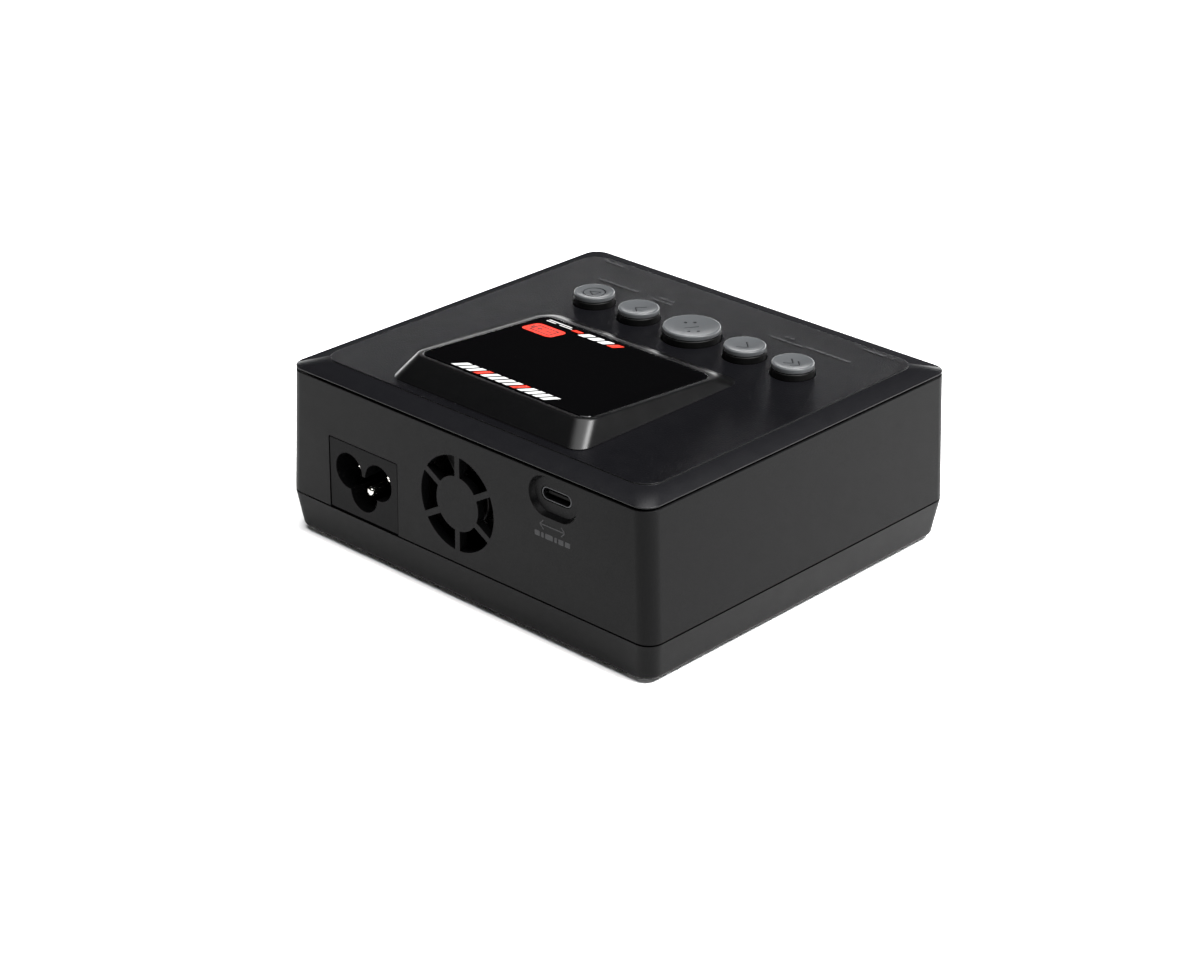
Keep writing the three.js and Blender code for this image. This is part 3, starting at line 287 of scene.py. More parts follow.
# Steel whose colour is set near black: painted shade for the sleeve inside the port's pocket.
sleeve_steel_painted_shade = finish("sleeve_steel_painted_shade", (0.030, 0.030, 0.032), 0.34, grain=0.1,
                      gloss_change=0.05, tone_change=0.1, Metallic=0.9)
gold_plate = finish("gold_plate", (0.80, 0.55, 0.22), 0.24, grain=0.05, gloss_change=0.05,
                    tone_change=0.05, Metallic=1.0)
rubber_black = finish("rubber_black", (0.012, 0.012, 0.013), 0.85, grain=0.6,
                      grain_scale=1800.0, gloss_change=0.05, tone_change=0.3)
white_ink = finish("white_ink", (0.36, 0.36, 0.355), 0.5, tone_change=0.05,
                   Specular_IOR_Level=0.2)
red_ink = finish("red_ink", (0.36, 0.012, 0.003), 0.5, tone_change=0.08,
                 Specular_IOR_Level=0.15)
grey_ink = finish("grey_ink", (0.026, 0.026, 0.027), 0.7, tone_change=0.2,
                  Specular_IOR_Level=0.1)
circuit_green = finish("circuit_green", (0.010, 0.085, 0.035), 0.45, grain=0.3,
                       grain_scale=900.0, gloss_change=0.1, tone_change=0.35)
core_grey = finish("core_grey", (0.022, 0.022, 0.025), 0.7, grain=0.5, gloss_change=0.1,
                   tone_change=0.3)
tape_yellow = finish("tape_yellow", (0.62, 0.40, 0.05), 0.35, grain=0.2, gloss_change=0.08,
                     tone_change=0.1)
sleeve_blue = finish("sleeve_blue", (0.012, 0.020, 0.075), 0.3, grain=0.1, gloss_change=0.05,
                     tone_change=0.1)
sink_metal = finish("sink_metal", (0.52, 0.53, 0.55), 0.36, grain=0.3, gloss_change=0.08,
                    tone_change=0.06, Metallic=1.0)
copper_wire = finish("copper_wire", (0.45, 0.15, 0.05), 0.3, grain=0.4, grain_scale=1400.0,
                     gloss_change=0.05, tone_change=0.2, Metallic=1.0)
display_black = finish("display_black", (0.004, 0.005, 0.007), 0.2, tone_change=0.1)
print("finishes:", len(bpy.data.materials))

# %% [markdown]
# The parts inside the case are seen only as shadows through the fan grille. Their CAD
# shapes are right for that, so they stay and only take a finish.

# %% Finishes of the inner parts
inner_finishes = {
    "control_board": circuit_green, "main_board": circuit_green, "lcd_module": display_black,
    "transformer_core": core_grey, "transformer_winding": tape_yellow,
    "bulk_capacitor": sleeve_blue, "rectifier_heat_sink": sink_metal,
    "output_heat_sink": sink_metal, "input_choke": copper_wire, "input_fuse": sleeve_blue,
    "output_inductor_left": copper_wire, "output_inductor_right": copper_wire,
    "buzzer": socket_black, "balance_pins_left": gold_plate, "balance_pins_right": gold_plate,
}
for index in range(1, 6):
    inner_finishes[f"button_switch_{index}"] = socket_black
for name, material in inner_finishes.items():
    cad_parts[name].data.materials.clear()
    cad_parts[name].data.materials.append(material)
print("inner parts:", len(inner_finishes))


# %% [markdown]
# ## Shaping helpers
# Most mouldings are a rounded outline raised through a few levels, and most knobs and pins
# are turned. Two helpers make those with bmesh operators: a grid face whose corners are
# bevelled and extruded, and a profile that is spun.

# %% Raised outlines
CORNER_MERGE = 0.002 * MM  # corners that take up a whole side leave doubled points
BEYOND = 1 * MM  # how far a cutting tool reaches past the face that it cuts


def outline(half_width, half_depth, corner, segments=10):
    """One flat face with rounded corners, in a new bmesh."""
    bm = bmesh.new()
    bmesh.ops.create_grid(bm, x_segments=1, y_segments=1, size=1)
    bmesh.ops.scale(bm, vec=(half_width, half_depth, 1), verts=bm.verts)
    if corner > 0:
        bmesh.ops.bevel(bm, geom=bm.verts[:], offset=corner, offset_type="OFFSET",
                        segments=segments, profile=0.5, affect="VERTICES", material=-1)
        bmesh.ops.remove_doubles(bm, verts=bm.verts, dist=CORNER_MERGE)
    return bm


def pull_in(verts, inset_x, inset_y):
    for vert in verts:
        vert.co.x -= inset_x * math.copysign(1, vert.co.x)
        vert.co.y -= inset_y * math.copysign(1, vert.co.y)


def raise_face(bm, height):
    """Extrudes the highest face by a height and gives back the new face's vertices."""
    first = len(bm.faces) == 1
    top = max(bm.faces, key=lambda face: face.calc_center_median().z)
    grown = bmesh.ops.extrude_face_region(bm, geom=[top])["geom"]
    if not first:
        bmesh.ops.delete(bm, geom=[top], context="FACES_ONLY")
    verts = [item for item in grown if isinstance(item, bmesh.types.BMVert)]
    bmesh.ops.translate(bm, vec=(0, 0, height), verts=verts)
    return verts


def raised(half_width, half_depth, corner, levels, segments=10):
    """A rounded outline raised through levels of (height, inset along X, inset along Y)."""
    bm = outline(half_width, half_depth, corner, segments)
    z, inset_x, inset_y = levels[0]
    bmesh.ops.translate(bm, vec=(0, 0, z), verts=bm.verts)
    pull_in(bm.verts, inset_x, inset_y)
    for next_z, next_x, next_y in levels[1:]:
        verts = raise_face(bm, next_z - z)
        pull_in(verts, next_x - inset_x, next_y - inset_y)
        z, inset_x, inset_y = next_z, next_x, next_y
    bmesh.ops.recalc_face_normals(bm, faces=bm.faces)
    return bm


def straight(half_width, half_depth, corner, z0, z1, segments=10):
    return raised(half_width, half_depth, corner, [(z0, 0, 0), (z1, 0, 0)], segments)


# %% Turned shapes
AXIS_MERGE = 0.0005 * MM  # joins the copies of the points on the axis


def turned(profile, steps=64):
    """A profile of (radius, height) points, from axis to axis, spun about Z."""
    bm = bmesh.new()
    verts = [bm.verts.new((radius, 0, z)) for radius, z in profile]
    edges = [bm.edges.new(pair) for pair in zip(verts, verts[1:])]
    bmesh.ops.spin(bm, geom=verts + edges, cent=(0, 0, 0), axis=(0, 0, 1), dvec=(0, 0, 0),
                   angle=math.tau, steps=steps, use_merge=True)
    bmesh.ops.remove_doubles(bm, verts=bm.verts, dist=AXIS_MERGE)
    bmesh.ops.recalc_face_normals(bm, faces=bm.faces)
    return bm


def cylinder(radius, z0, z1, steps=64):
    return turned([(0, z0), (radius, z0), (radius, z1), (0, z1)], steps)


def arc(centre_r, centre_z, radius, start, end, points=5):
    """Points on an arc from one angle to another, in degrees, for a turned profile."""
    angles = [math.radians(start + (end - start) * i / (points - 1)) for i in range(points)]
    return [(centre_r + radius * math.cos(a), centre_z + radius * math.sin(a)) for a in angles]


# %% Placing and combining
FACE_REAR = Matrix.Rotation(math.radians(-90), 4, "X")  # turns +Z to +Y


def moved(bm, matrix):
    bmesh.ops.transform(bm, matrix=matrix, verts=bm.verts)
    return bm


def at(x, y, z):
    return Matrix.Translation((x, y, z))


def about_z(degrees):
    return Matrix.Rotation(math.radians(degrees), 4, "Z")


def as_bmesh(thing):
    """Takes an object away and gives back its mesh as a bmesh, ready to be a tool."""
    bm = bmesh.new()
    bm.from_mesh(thing.data)
    bpy.data.objects.remove(thing)
    return bm


def as_object(name, bm):
    mesh = bpy.data.meshes.new(name)
    bm.to_mesh(mesh)
    bm.free()
    made = bpy.data.objects.new(name, mesh)
    bpy.context.scene.collection.objects.link(made)
    return made


def combine(body, tools, operation="DIFFERENCE"):
    """Cuts or joins bmesh tools to an object with exact booleans, and applies them."""
    helpers = [as_object(f"tool_{index}", tool) for index, tool in enumerate(tools)]
    for helper in helpers:
        cut = body.modifiers.new("cut", "BOOLEAN")
        cut.solver = "EXACT"
        cut.operation = operation
        cut.object = helper
    bpy.context.view_layer.update()
    result = body.evaluated_get(bpy.context.evaluated_depsgraph_get())
    mesh = bpy.data.meshes.new_from_object(result)
    body.modifiers.clear()
    old = body.data
    body.data = mesh
    bpy.data.meshes.remove(old)
    for helper in helpers:
        bpy.data.objects.remove(helper)
    return body


SHARP = math.radians(40)  # edges with a wider turn are rounded and stay crisp


def complete(piece, material, body, replaces=(), edge=0.0, segments=2):
    """Rounds a piece's edges, shades it, and ties it to the frame."""
    piece.data.name = piece.name
    if not piece.data.materials:
        piece.data.materials.append(material)
    piece.data.shade_smooth()
    piece.data.set_sharp_from_angle(angle=SHARP)
    if edge:
        rounding = piece.modifiers.new("edges", "BEVEL")
        rounding.width = edge
        rounding.segments = segments
        rounding.limit_method = "ANGLE"
        rounding.angle_limit = SHARP
        rounding.harden_normals = True
    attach(piece, body)
    if replaces:
        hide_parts(*replaces)
    print(piece.name, len(piece.data.polygons), "faces")
    return piece


# %% [markdown]
# ## Floor
# One big pale plane. It lights the charger from below and shows the contact shadow.

# %% Floor
FLOOR_HALF = 1.05  # no further than the lamp lights it well
floor = as_object("floor", outline(FLOOR_HALF, FLOOR_HALF, 0))
floor_white = finish("floor_white", (0.86, 0.86, 0.86), 0.9, grain_scale=40.0,
                     tone_change=0.005, Specular_IOR_Level=0.0)
floor.data.materials.append(floor_white)

# %% [markdown]
# ## Tray
# The tray is a shallow open box whose walls lean out to the seam. Its outline is raised
# through a quarter round at the bottom edge, a smaller outline is cut out of the inside,
# and the feet, the screws and the cooling air get their recesses and slots. A thin lip
# inside the walls reaches across the seam, as on a real moulding, and keeps light out.

# %% Tray
TRAY_TAPER = 1.15 * MM
TRAY_EDGE = 1.2 * MM
SEAM_CUT = 0.12 * MM  # deepens the shadow line at each seam
CORNER = 4 * MM
EDGE_STEPS = 6
FOOT_RECESS = 5.3 * MM
SCREW_BORE = 1.7 * MM
SCREW_BORE_DEPTH = 8 * MM
INTAKE_SLOTS = 9
INTAKE_PITCH = 5 * MM
INTAKE_HALF_WIDTH = 1.1 * MM
INTAKE_HALF_LENGTH = 13 * MM
LIP = 0.9 * MM
LIP_ROOM = 0.1 * MM
LIP_ROOT = 0.3 * MM  # how deep the lip's foot stands in the wall
LIP_DEPTH = 2.5 * MM
LIP_REACH = 0.15 * MM
SEAM_EDGE = 0.08 * MM
tray_half_x, tray_half_y = tray_high.x, tray_high.y


def tray_levels():
    levels = []
    for i in range(EDGE_STEPS + 1):
        angle = math.radians(90) * i / EDGE_STEPS
        inset = TRAY_TAPER + TRAY_EDGE * (1 - math.sin(angle))
        levels.append((tray_low.z + TRAY_EDGE * (1 - math.cos(angle)), inset, inset))
    levels.append((tray_high.z - SEAM_CUT, 0, 0))
    return levels


tray = as_object("tray_shell", raised(tray_half_x, tray_half_y, CORNER, tray_levels()))
tray_cuts = [raised(tray_half_x - WALL, tray_half_y - WALL, CORNER - WALL / 2, [
    (tray_low.z + WALL, TRAY_TAPER, TRAY_TAPER), (tray_high.z + WALL, 0, 0)])]
for index in range(1, 5):
    low, high, middle, half = place_of(f"foot_{index}")
    tray_cuts.append(moved(cylinder(FOOT_RECESS, -BEYOND, high.z, 48), at(middle.x, middle.y, 0)))
    middle = place_of(f"case_screw_{index}")[2]
    tray_cuts.append(moved(cylinder(SCREW_BORE, 0, SCREW_BORE_DEPTH, 32),
                           at(middle.x, middle.y, 0)))
for index in range(INTAKE_SLOTS):
    x = (index - (INTAKE_SLOTS - 1) / 2) * INTAKE_PITCH
    slot = straight(INTAKE_HALF_WIDTH, INTAKE_HALF_LENGTH, 1 * MM, 0, 5 * MM, 4)
    tray_cuts.append(moved(slot, at(x, 0, 0)))
combine(tray, tray_cuts)


def lip(half_width, half_depth, levels):
    """A thin ring along the inside of the walls that keeps light out of a seam."""
    ring = as_object("lip", raised(half_width, half_depth, CORNER - WALL / 2, levels))
    hole = straight(half_width - LIP, half_depth - LIP, CORNER - WALL, levels[0][0] - MM,
                    levels[-1][0] + MM, 8)
    return as_bmesh(combine(ring, [hole]))


lip_top = housing_low.z + LIP_REACH
combine(tray, [lip(tray_half_x - WALL, tray_half_y - WALL, [
    (tray_high.z - LIP_DEPTH, -LIP_ROOT, -LIP_ROOT), (tray_high.z - 1 * MM, -LIP_ROOT, -LIP_ROOT),
    (tray_high.z - 0.6 * MM, LIP_ROOM, LIP_ROOM), (lip_top, LIP_ROOM, LIP_ROOM)])], "UNION")
print("the tray's lip ends at", round(lip_top / MM, 2), "mm")
complete(tray, case_black, "case", ["base_tray"], edge=SEAM_EDGE)

# %% [markdown]
# ## Housing
# A ring of four walls that lean in a little towards the top. The rear wall has the inlet's
# square window, the fan grille and the data port's sloped pocket, and the front wall has
# the windows of the four sockets. The grille is cut by a flat ring out of which three bars
# have been taken first, so that the six spokes keep one width.

# %% Places on the walls
inlet_middle, inlet_half = place_of("ac_inlet_body")[2:]
fan_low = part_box("fan_frame")[0]
fan_middle, fan_half = place_of("fan_frame")[2:]
port_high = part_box("data_port_shell")[1]
port_middle, port_half = place_of("data_port_shell")[2:]
port_level = port_middle.z - GAP / 2
THROUGH = 6 * MM  # how long a tool is that goes through a wall


def on_rear(bm, x, z, y=rear_face):
    """Stands a shape upright on a wall: its +Z becomes +Y."""
    return moved(bm, at(x, y, z) @ FACE_REAR)


# %% Grille cutter
GRILLE_RADIUS = 11.7 * MM
DISC_RADIUS = 6.7 * MM
SPOKE = 1.5 * MM
ring = as_object("grille_cutter", turned([
    (DISC_RADIUS, -THROUGH), (GRILLE_RADIUS, -THROUGH), (GRILLE_RADIUS, THROUGH),
    (DISC_RADIUS, THROUGH), (DISC_RADIUS, -THROUGH)], 96))
spokes = [moved(straight(SPOKE / 2, 2 * GRILLE_RADIUS, 0, -2 * THROUGH, 2 * THROUGH),
                about_z(60 * i)) for i in range(3)]
grille_cutter = on_rear(as_bmesh(combine(ring, spokes)), fan_middle.x, fan_middle.z)

# %% Port pocket
POCKET_HALF_X = 7.3 * MM
POCKET_HALF_Z = 4.85 * MM
POCKET_DEPTH = 1.2 * MM
POCKET_SLOPE = 0.8 * MM
POCKET_START = 0.5 * MM  # how far outside the wall the tool begins
PORT_ROOM = 0.15 * MM


def stadium_tool(half_width, half_height, near, far, segments=14):
    return straight(half_width, half_height, half_height, near, far, segments)


pocket = outline(POCKET_HALF_X, POCKET_HALF_Z, POCKET_HALF_Z, 14)
raise_face(pocket, POCKET_START)
pocket_floor = raise_face(pocket, POCKET_DEPTH)
pocket_scale = 1 - POCKET_SLOPE / POCKET_HALF_Z
for vert in pocket_floor:
    end = math.copysign(POCKET_HALF_X - POCKET_HALF_Z, vert.co.x)
    vert.co.x = end + (vert.co.x - end) * pocket_scale
    vert.co.y *= pocket_scale
bmesh.ops.recalc_face_normals(pocket, faces=pocket.faces)
moved(pocket, at(port_middle.x, rear_face + POCKET_START, port_level)
      @ Matrix.Rotation(math.radians(90), 4, "X"))

# %% Housing
HOUSING_EDGE = 0.15 * MM
SOCKET_CORNER = 2 * MM
PORT_CORNER = 0.4 * MM
housing_rim = housing_high.z - 2 * SEAM_CUT
housing = as_object("housing_shell", raised(housing_high.x, housing_high.y, CORNER, [
    (housing_low.z, 0, 0),
    (housing_rim - HOUSING_EDGE, side_flare, end_flare),
    (housing_rim, side_flare + HOUSING_EDGE, end_flare + HOUSING_EDGE)], 12))
housing_cuts = [raised(housing_high.x - WALL, housing_high.y - WALL, CORNER - WALL / 2, [
    (housing_low.z - WALL, 0, 0), (housing_high.z + WALL, side_flare, end_flare)])]
housing_cuts += [grille_cutter, pocket]
housing_cuts.append(on_rear(stadium_tool(port_half.x + PORT_ROOM, port_half.z + PORT_ROOM,
                                         -THROUGH, 0), port_middle.x, port_middle.z))
for name in ("ac_inlet_body", "output_socket_left", "output_socket_right",
             "balance_port_left", "balance_port_right"):
    low, high, middle, half = place_of(name)
    at_front = middle.y < 0
    level = place_of("balance_pins_left")[2].z if at_front else middle.z
    half_z = high.z - level
    corner = SOCKET_CORNER if name.startswith("output") else PORT_CORNER
    tool = straight(half.x + GAP, half_z + GAP, corner, -THROUGH, THROUGH, 6)
    housing_cuts.append(on_rear(tool, middle.x, level, front_face if at_front else rear_face))
combine(housing, housing_cuts)
complete(housing, case_black, "case", ["mid_housing"], edge=SEAM_EDGE)

# %% [markdown]
# ## Cover
# The cover is a band that slopes up from a thin lip, and a grained panel that stands a
# third of a millimetre above the band. The two are joined, the key holes and the display's
# window are cut, and the panel's faces get the grained finish. The band's slopes at the front
# and on the right take a flat copy of its finish without reflection, a painted shade that
# keeps them dark where a low view would turn them into a mirror of the floor.

# %% Cover
COVER_LIP = 0.5 * MM
PANEL_INSET_X = 5.1 * MM
PANEL_INSET_Y = 5.8 * MM
PANEL_STEP = 0.35 * MM
PANEL_ROOM = 0.1 * MM
PANEL_CORNER = 5 * MM
BREAK = 0.15 * MM  # the broken edges of the cover's lip
KEY_HOLE_ROOM = 0.42 * MM
WINDOW_ROOM = 1.8 * MM
WINDOW_CORNER = 1.5 * MM
cover_under = top_seam + GAP / 2
cover = as_object("cover_shell", raised(half_x, half_y, CORNER, [
    (cover_under, BREAK, BREAK), (cover_under + BREAK, 0, 0),
    (cover_under + COVER_LIP - BREAK, 0, 0), (cover_under + COVER_LIP, BREAK, BREAK),
    (panel_top - PANEL_STEP, PANEL_INSET_X, PANEL_INSET_Y)], 12))
panel_half_x = half_x - PANEL_INSET_X - PANEL_ROOM
panel_half_y = half_y - PANEL_INSET_Y - PANEL_ROOM
panel = straight(panel_half_x, panel_half_y, PANEL_CORNER, cover_under + COVER_LIP, panel_top, 14)
cover_lip = lip(half_x - WALL, half_y - WALL, [(cover_under - 1 * MM, LIP_ROOM, LIP_ROOM),
                                               (cover_under + LIP_ROOT, LIP_ROOM, LIP_ROOM)])
combine(cover, [panel, cover_lip], "UNION")
cover_cuts = []
key_places = []
for index in range(1, 6):
    low, high, middle, half = place_of(f"button_{index}_cap")
    key_places.append((middle.x, middle.y, half.x))
    cover_cuts.append(moved(cylinder(half.x + KEY_HOLE_ROOM, -5 * MM, 5 * MM, 72),
                            at(middle.x, middle.y, panel_top)))
lcd_middle, lcd_half = place_of("lcd_module")[2:]
window_half_x = lcd_half.x + WINDOW_ROOM
window_half_y = lcd_half.y + WINDOW_ROOM
cover_cuts.append(moved(straight(window_half_x, window_half_y, WINDOW_CORNER, -4 * MM, 4 * MM),
                        at(lcd_middle.x, lcd_middle.y, panel_top)))
combine(cover, cover_cuts)
cover.data.materials.append(band_black)
cover.data.materials.append(panel_grain)
cover.data.materials.append(band_painted_shade)
for polygon in cover.data.polygons:
    on_slope = polygon.normal.z > 0.3 and polygon.center.z > cover_under
    if polygon.center.z > panel_top - PANEL_STEP * 0.6:
        polygon.material_index = 1
    # The slopes that face the front and the right take the copy with the painted shade.
    elif on_slope and polygon.normal.x - polygon.normal.y > 0.05:
        polygon.material_index = 2
complete(cover, band_black, "case", ["top_cover"], edge=0.1 * MM)

# %% [markdown]
# ## Display
# The display frame is a wedge: a low front edge and a high rear edge. Its outline is raised
# once, and the upper ring of vertices is pulled in by a different amount on each side and
# laid on the tilted plane of the glass. An inset leaves the narrow rim that catches the
# light, and the glass stands a hair above it.

# %% Display frame
bezel_low, bezel_high, bezel_middle, bezel_half = place_of("display_bezel")
glass_middle, glass_half = place_of("display_lens")[2:]
GLASS_HALF_X = glass_half.x
GLASS_HALF_Y = 21.45 * MM
GLASS_CORNER = 2.8 * MM
GLASS_THICKNESS = 1.2 * MM
GLASS_PROUD = 0.08 * MM
RIM = 1.35 * MM
CROWN_ROUND = 0.42 * MM
GLASS_ROOM = 0.08 * MM
RISE_FRONT = 1.95 * MM
RISE_REAR = 5.1 * MM
lens_x, lens_y = glass_middle.x, glass_middle.y
slope = (RISE_REAR - RISE_FRONT) / (2 * GLASS_HALF_Y)
tilt = math.atan(slope)
lens_level = panel_top + (RISE_FRONT + RISE_REAR) / 2
spread_side = bezel_half.x - GLASS_HALF_X - RIM
spread_rear = bezel_high.y - lens_y - GLASS_HALF_Y - RIM
spread_front = lens_y - bezel_low.y - GLASS_HALF_Y - RIM


def glass_plane(y):
    return lens_level + (y - lens_y) * slope


def tilted(bm):
    return moved(bm, at(lens_x, lens_y, lens_level) @ Matrix.Rotation(tilt, 4, "X"))


wedge = outline(bezel_half.x, bezel_half.y, GLASS_CORNER + RIM, 14)
moved(wedge, at(lens_x, bezel_middle.y, bezel_low.z))
wedge_top = raise_face(wedge, 1 * MM)
for vert in wedge_top:
    vert.co.x -= math.copysign(spread_side, vert.co.x - lens_x)
    vert.co.y -= spread_rear if vert.co.y > bezel_middle.y else -spread_front
    vert.co.z = glass_plane(vert.co.y)
bmesh.ops.recalc_face_normals(wedge, faces=wedge.faces)
crown = max(wedge.faces, key=lambda face: face.calc_center_median().z)
bmesh.ops.bevel(wedge, geom=crown.edges[:], offset=CROWN_ROUND, offset_type="OFFSET",
                segments=5, profile=0.5, affect="EDGES", material=-1)
display_frame = as_object("display_frame", wedge)
seat = tilted(straight(GLASS_HALF_X + GLASS_ROOM, GLASS_HALF_Y + GLASS_ROOM, GLASS_CORNER,
                       -GLASS_THICKNESS - 0.2 * MM, 5 * MM, 14))
window = moved(straight(window_half_x, window_half_y, WINDOW_CORNER, -BEYOND, 5 * MM),
               at(lens_x, lens_y, panel_top))
combine(display_frame, [seat, window])
complete(display_frame, frame_gloss, "case", ["display_bezel"],
         edge=0.16 * MM, segments=3)

# %% Display glass
glass = as_object("display_glass", tilted(straight(GLASS_HALF_X, GLASS_HALF_Y, GLASS_CORNER,
                                                   -GLASS_THICKNESS, GLASS_PROUD, 14)))
complete(glass, glass_black, "case", ["display_lens"], edge=0.2 * MM, segments=4)

# %% [markdown]
# ## Keys
# Each key is a grey dished cap on a black skirt. The profiles are spun. The symbols are
# sunk into the dish by a boolean, and the faces at the bottom of each groove take the ink.

# %% Key profiles
KEY_DISH = 0.5 * MM
CAP_ROUND = 0.42 * MM
CAP_FOOT = 0.12 * MM
DISH_STEPS = 12
DISH_STEP = 0.02 * MM  # a fine crease between the rim and the dish
KEY_TRAVEL = 0.8 * MM
PLUNGER_RADIUS = 1.5 * MM


def cap_profile(radius, height):
    crest = radius - CAP_ROUND - CAP_FOOT
    points = [(0, 0), (radius - CAP_FOOT, 0), (radius, CAP_FOOT)]
    points += arc(radius - CAP_ROUND, height - CAP_ROUND, CAP_ROUND, 0, 90, 7)
    for i in range(DISH_STEPS + 1):
        r = crest * (1 - i / DISH_STEPS)
        points.append((r, height - DISH_STEP - KEY_DISH * (1 - (r / crest) ** 2)))
    return points


def strip(length, width, x, y, turn, z0, z1):
    """A thin straight bar, the stroke that the key symbols are drawn with."""
    bm = straight(length / 2, width / 2, width * 0.45, z0, z1, 3)
    return moved(bm, at(x, y, 0) @ about_z(turn))


def dot(radius, x, y, z0, z1):
    return moved(cylinder(radius, z0, z1, 20), at(x, y, 0))


# %% Key symbols
SYMBOL_DEPTH = 0.14 * MM
STROKE = 0.34 * MM


def stroke(length, x, y, turn, width=STROKE):
    return (length * MM, width, x * MM, y * MM, turn)


play = [stroke(2.6, -0.9, 0, 90), stroke(2.9, 0.3, 0.7, -30), stroke(2.9, 0.3, -0.7, 30)]
arrow_right = [stroke(3.0, 0, 0.95, -42), stroke(3.0, 0, -0.95, 42)]
enter = [stroke(3.6, 0, 0, 60)]
arrow_left = [stroke(3.0, 0, 0.95, 42), stroke(3.0, 0, -0.95, -42)]
back = [stroke(2.5, -1.2, 0.8, 42), stroke(2.5, -1.2, -0.8, -42), stroke(2.5, 0.8, 0.8, 42),
        stroke(2.5, 0.8, -0.8, -42)]
symbols = [play, arrow_right, enter, arrow_left, back]
CIRCLE_RADIUS = 2.6 * MM
DOTS = [(-2.9, 1.0), (-1.3, 2.6), (2.9, -1.0), (1.3, -2.6)]
DOT_RADIUS = 0.45 * MM

# %% Keys
DISH_SHARE = 0.75  # the symbols lie within this share of the cap's radius
SKIRT_PROUD = 0.12 * MM
SKIRT_TOP = 1.6 * MM
SKIRT_ROUND = 0.15 * MM
SKIRT_FLANGE = 1.1 * MM
FLANGE_THICKNESS = 0.8 * MM
STEM_SHARE = 0.6
for index, (x, y, radius) in enumerate(key_places):
    low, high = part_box(f"button_{index + 1}_cap")
    height = high.z - low.z
    cap = as_object(f"key_cap_{index + 1}", turned(cap_profile(radius, height), 96))
    cap.data.materials.append(key_grey)
    floor_z = height - KEY_DISH - SYMBOL_DEPTH
    above = height + BEYOND
    tools = [strip(*s, floor_z, above) for s in symbols[index]]
    if symbols[index] is enter:
        tools += [dot(DOT_RADIUS, px * MM, py * MM, floor_z, above) for px, py in DOTS]
    if symbols[index] is play:
        tools.append(turned([(CIRCLE_RADIUS, floor_z), (CIRCLE_RADIUS + STROKE, floor_z),
                             (CIRCLE_RADIUS + STROKE, above), (CIRCLE_RADIUS, above),
                             (CIRCLE_RADIUS, floor_z)], 64))
    combine(cap, tools)
    cap.data.materials.append(key_ink)
    for polygon in cap.data.polygons:
        inside = polygon.center.xy.length < radius * DISH_SHARE
        if inside and CAP_FOOT < polygon.center.z < height - KEY_DISH - SYMBOL_DEPTH * 0.4:
            polygon.material_index = 1
    cap.data.transform(at(x, y, low.z))
    complete(cap, key_grey, f"button_{index + 1}", [f"button_{index + 1}_cap"])
    wide = radius + SKIRT_PROUD
    flange = cover_under - GAP - panel_top
    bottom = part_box(f"button_{index + 1}_skirt")[0].z - panel_top
    switch_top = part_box(f"button_switch_{index + 1}")[1].z
    stem = switch_top + KEY_TRAVEL + GAP - panel_top
    skirt = turned([(0, bottom), (PLUNGER_RADIUS, bottom), (PLUNGER_RADIUS, stem),
                    (wide * STEM_SHARE, stem), (wide * STEM_SHARE, flange - FLANGE_THICKNESS),
                    (wide + SKIRT_FLANGE, flange - FLANGE_THICKNESS),
                    (wide + SKIRT_FLANGE, flange), (wide, flange),
                    (wide, SKIRT_TOP - SKIRT_ROUND), (wide - SKIRT_ROUND, SKIRT_TOP),
                    (0, SKIRT_TOP)], 96)
    skirt_piece = as_object(f"key_skirt_{index + 1}", moved(skirt, at(x, y, panel_top)))
    complete(skirt_piece, skirt_black, f"button_{index + 1}",
             [f"button_{index + 1}_skirt"])

# %% [markdown]
# ## Mains inlet
# A block whose socket is the union of three round lobes, with three turned pins in it. The
# lobes are cut one after the other, and the small bevel runs round the mouth.

# %% Inlet
LOBE_RADIUS = 4.5 * MM
SOCKET_DEPTH = 13 * MM
inlet_block = straight(inlet_half.x, inlet_half.z, 0.3 * MM, -2 * inlet_half.y, 0, 3)
inlet = as_object("inlet_block", on_rear(inlet_block, inlet_middle.x, inlet_middle.z))
pin_places = {pole: place_of(f"inlet_pin_{pole}") for pole in ("live", "neutral", "earth")}
lobes = [on_rear(cylinder(LOBE_RADIUS, -SOCKET_DEPTH, 2 * MM), middle.x, middle.z)
         for low, high, middle, half in pin_places.values()]
combine(inlet, lobes)
complete(inlet, socket_black, "case", ["ac_inlet_body"], edge=0.12 * MM)

# %% Inlet pins
PIN_TIP = 0.8 * MM
for pole, (low, high, middle, half) in pin_places.items():
    radius = half.x
    length = high.y - low.y
    profile = [(0, -length), (radius, -length), (radius, -PIN_TIP)]
    profile += arc(0, -PIN_TIP, radius, 0, 90, 8)[1:]
    profile = [(r, z if z < 0 else z * PIN_TIP / radius) for r, z in profile]
    profile[-1] = (0, 0)
    pin = on_rear(turned(profile, 40), middle.x, middle.z, high.y)
    complete(as_object(f"inlet_contact_{pole}", pin), nickel, "case",
             [f"inlet_pin_{pole}"])

# %% [markdown]
# ## Fan
# Behind the grille a square frame holds a rotor with a cupped hub and seven pitched blades.
# One blade is a grid that is bent, thickened and then copied round the hub.

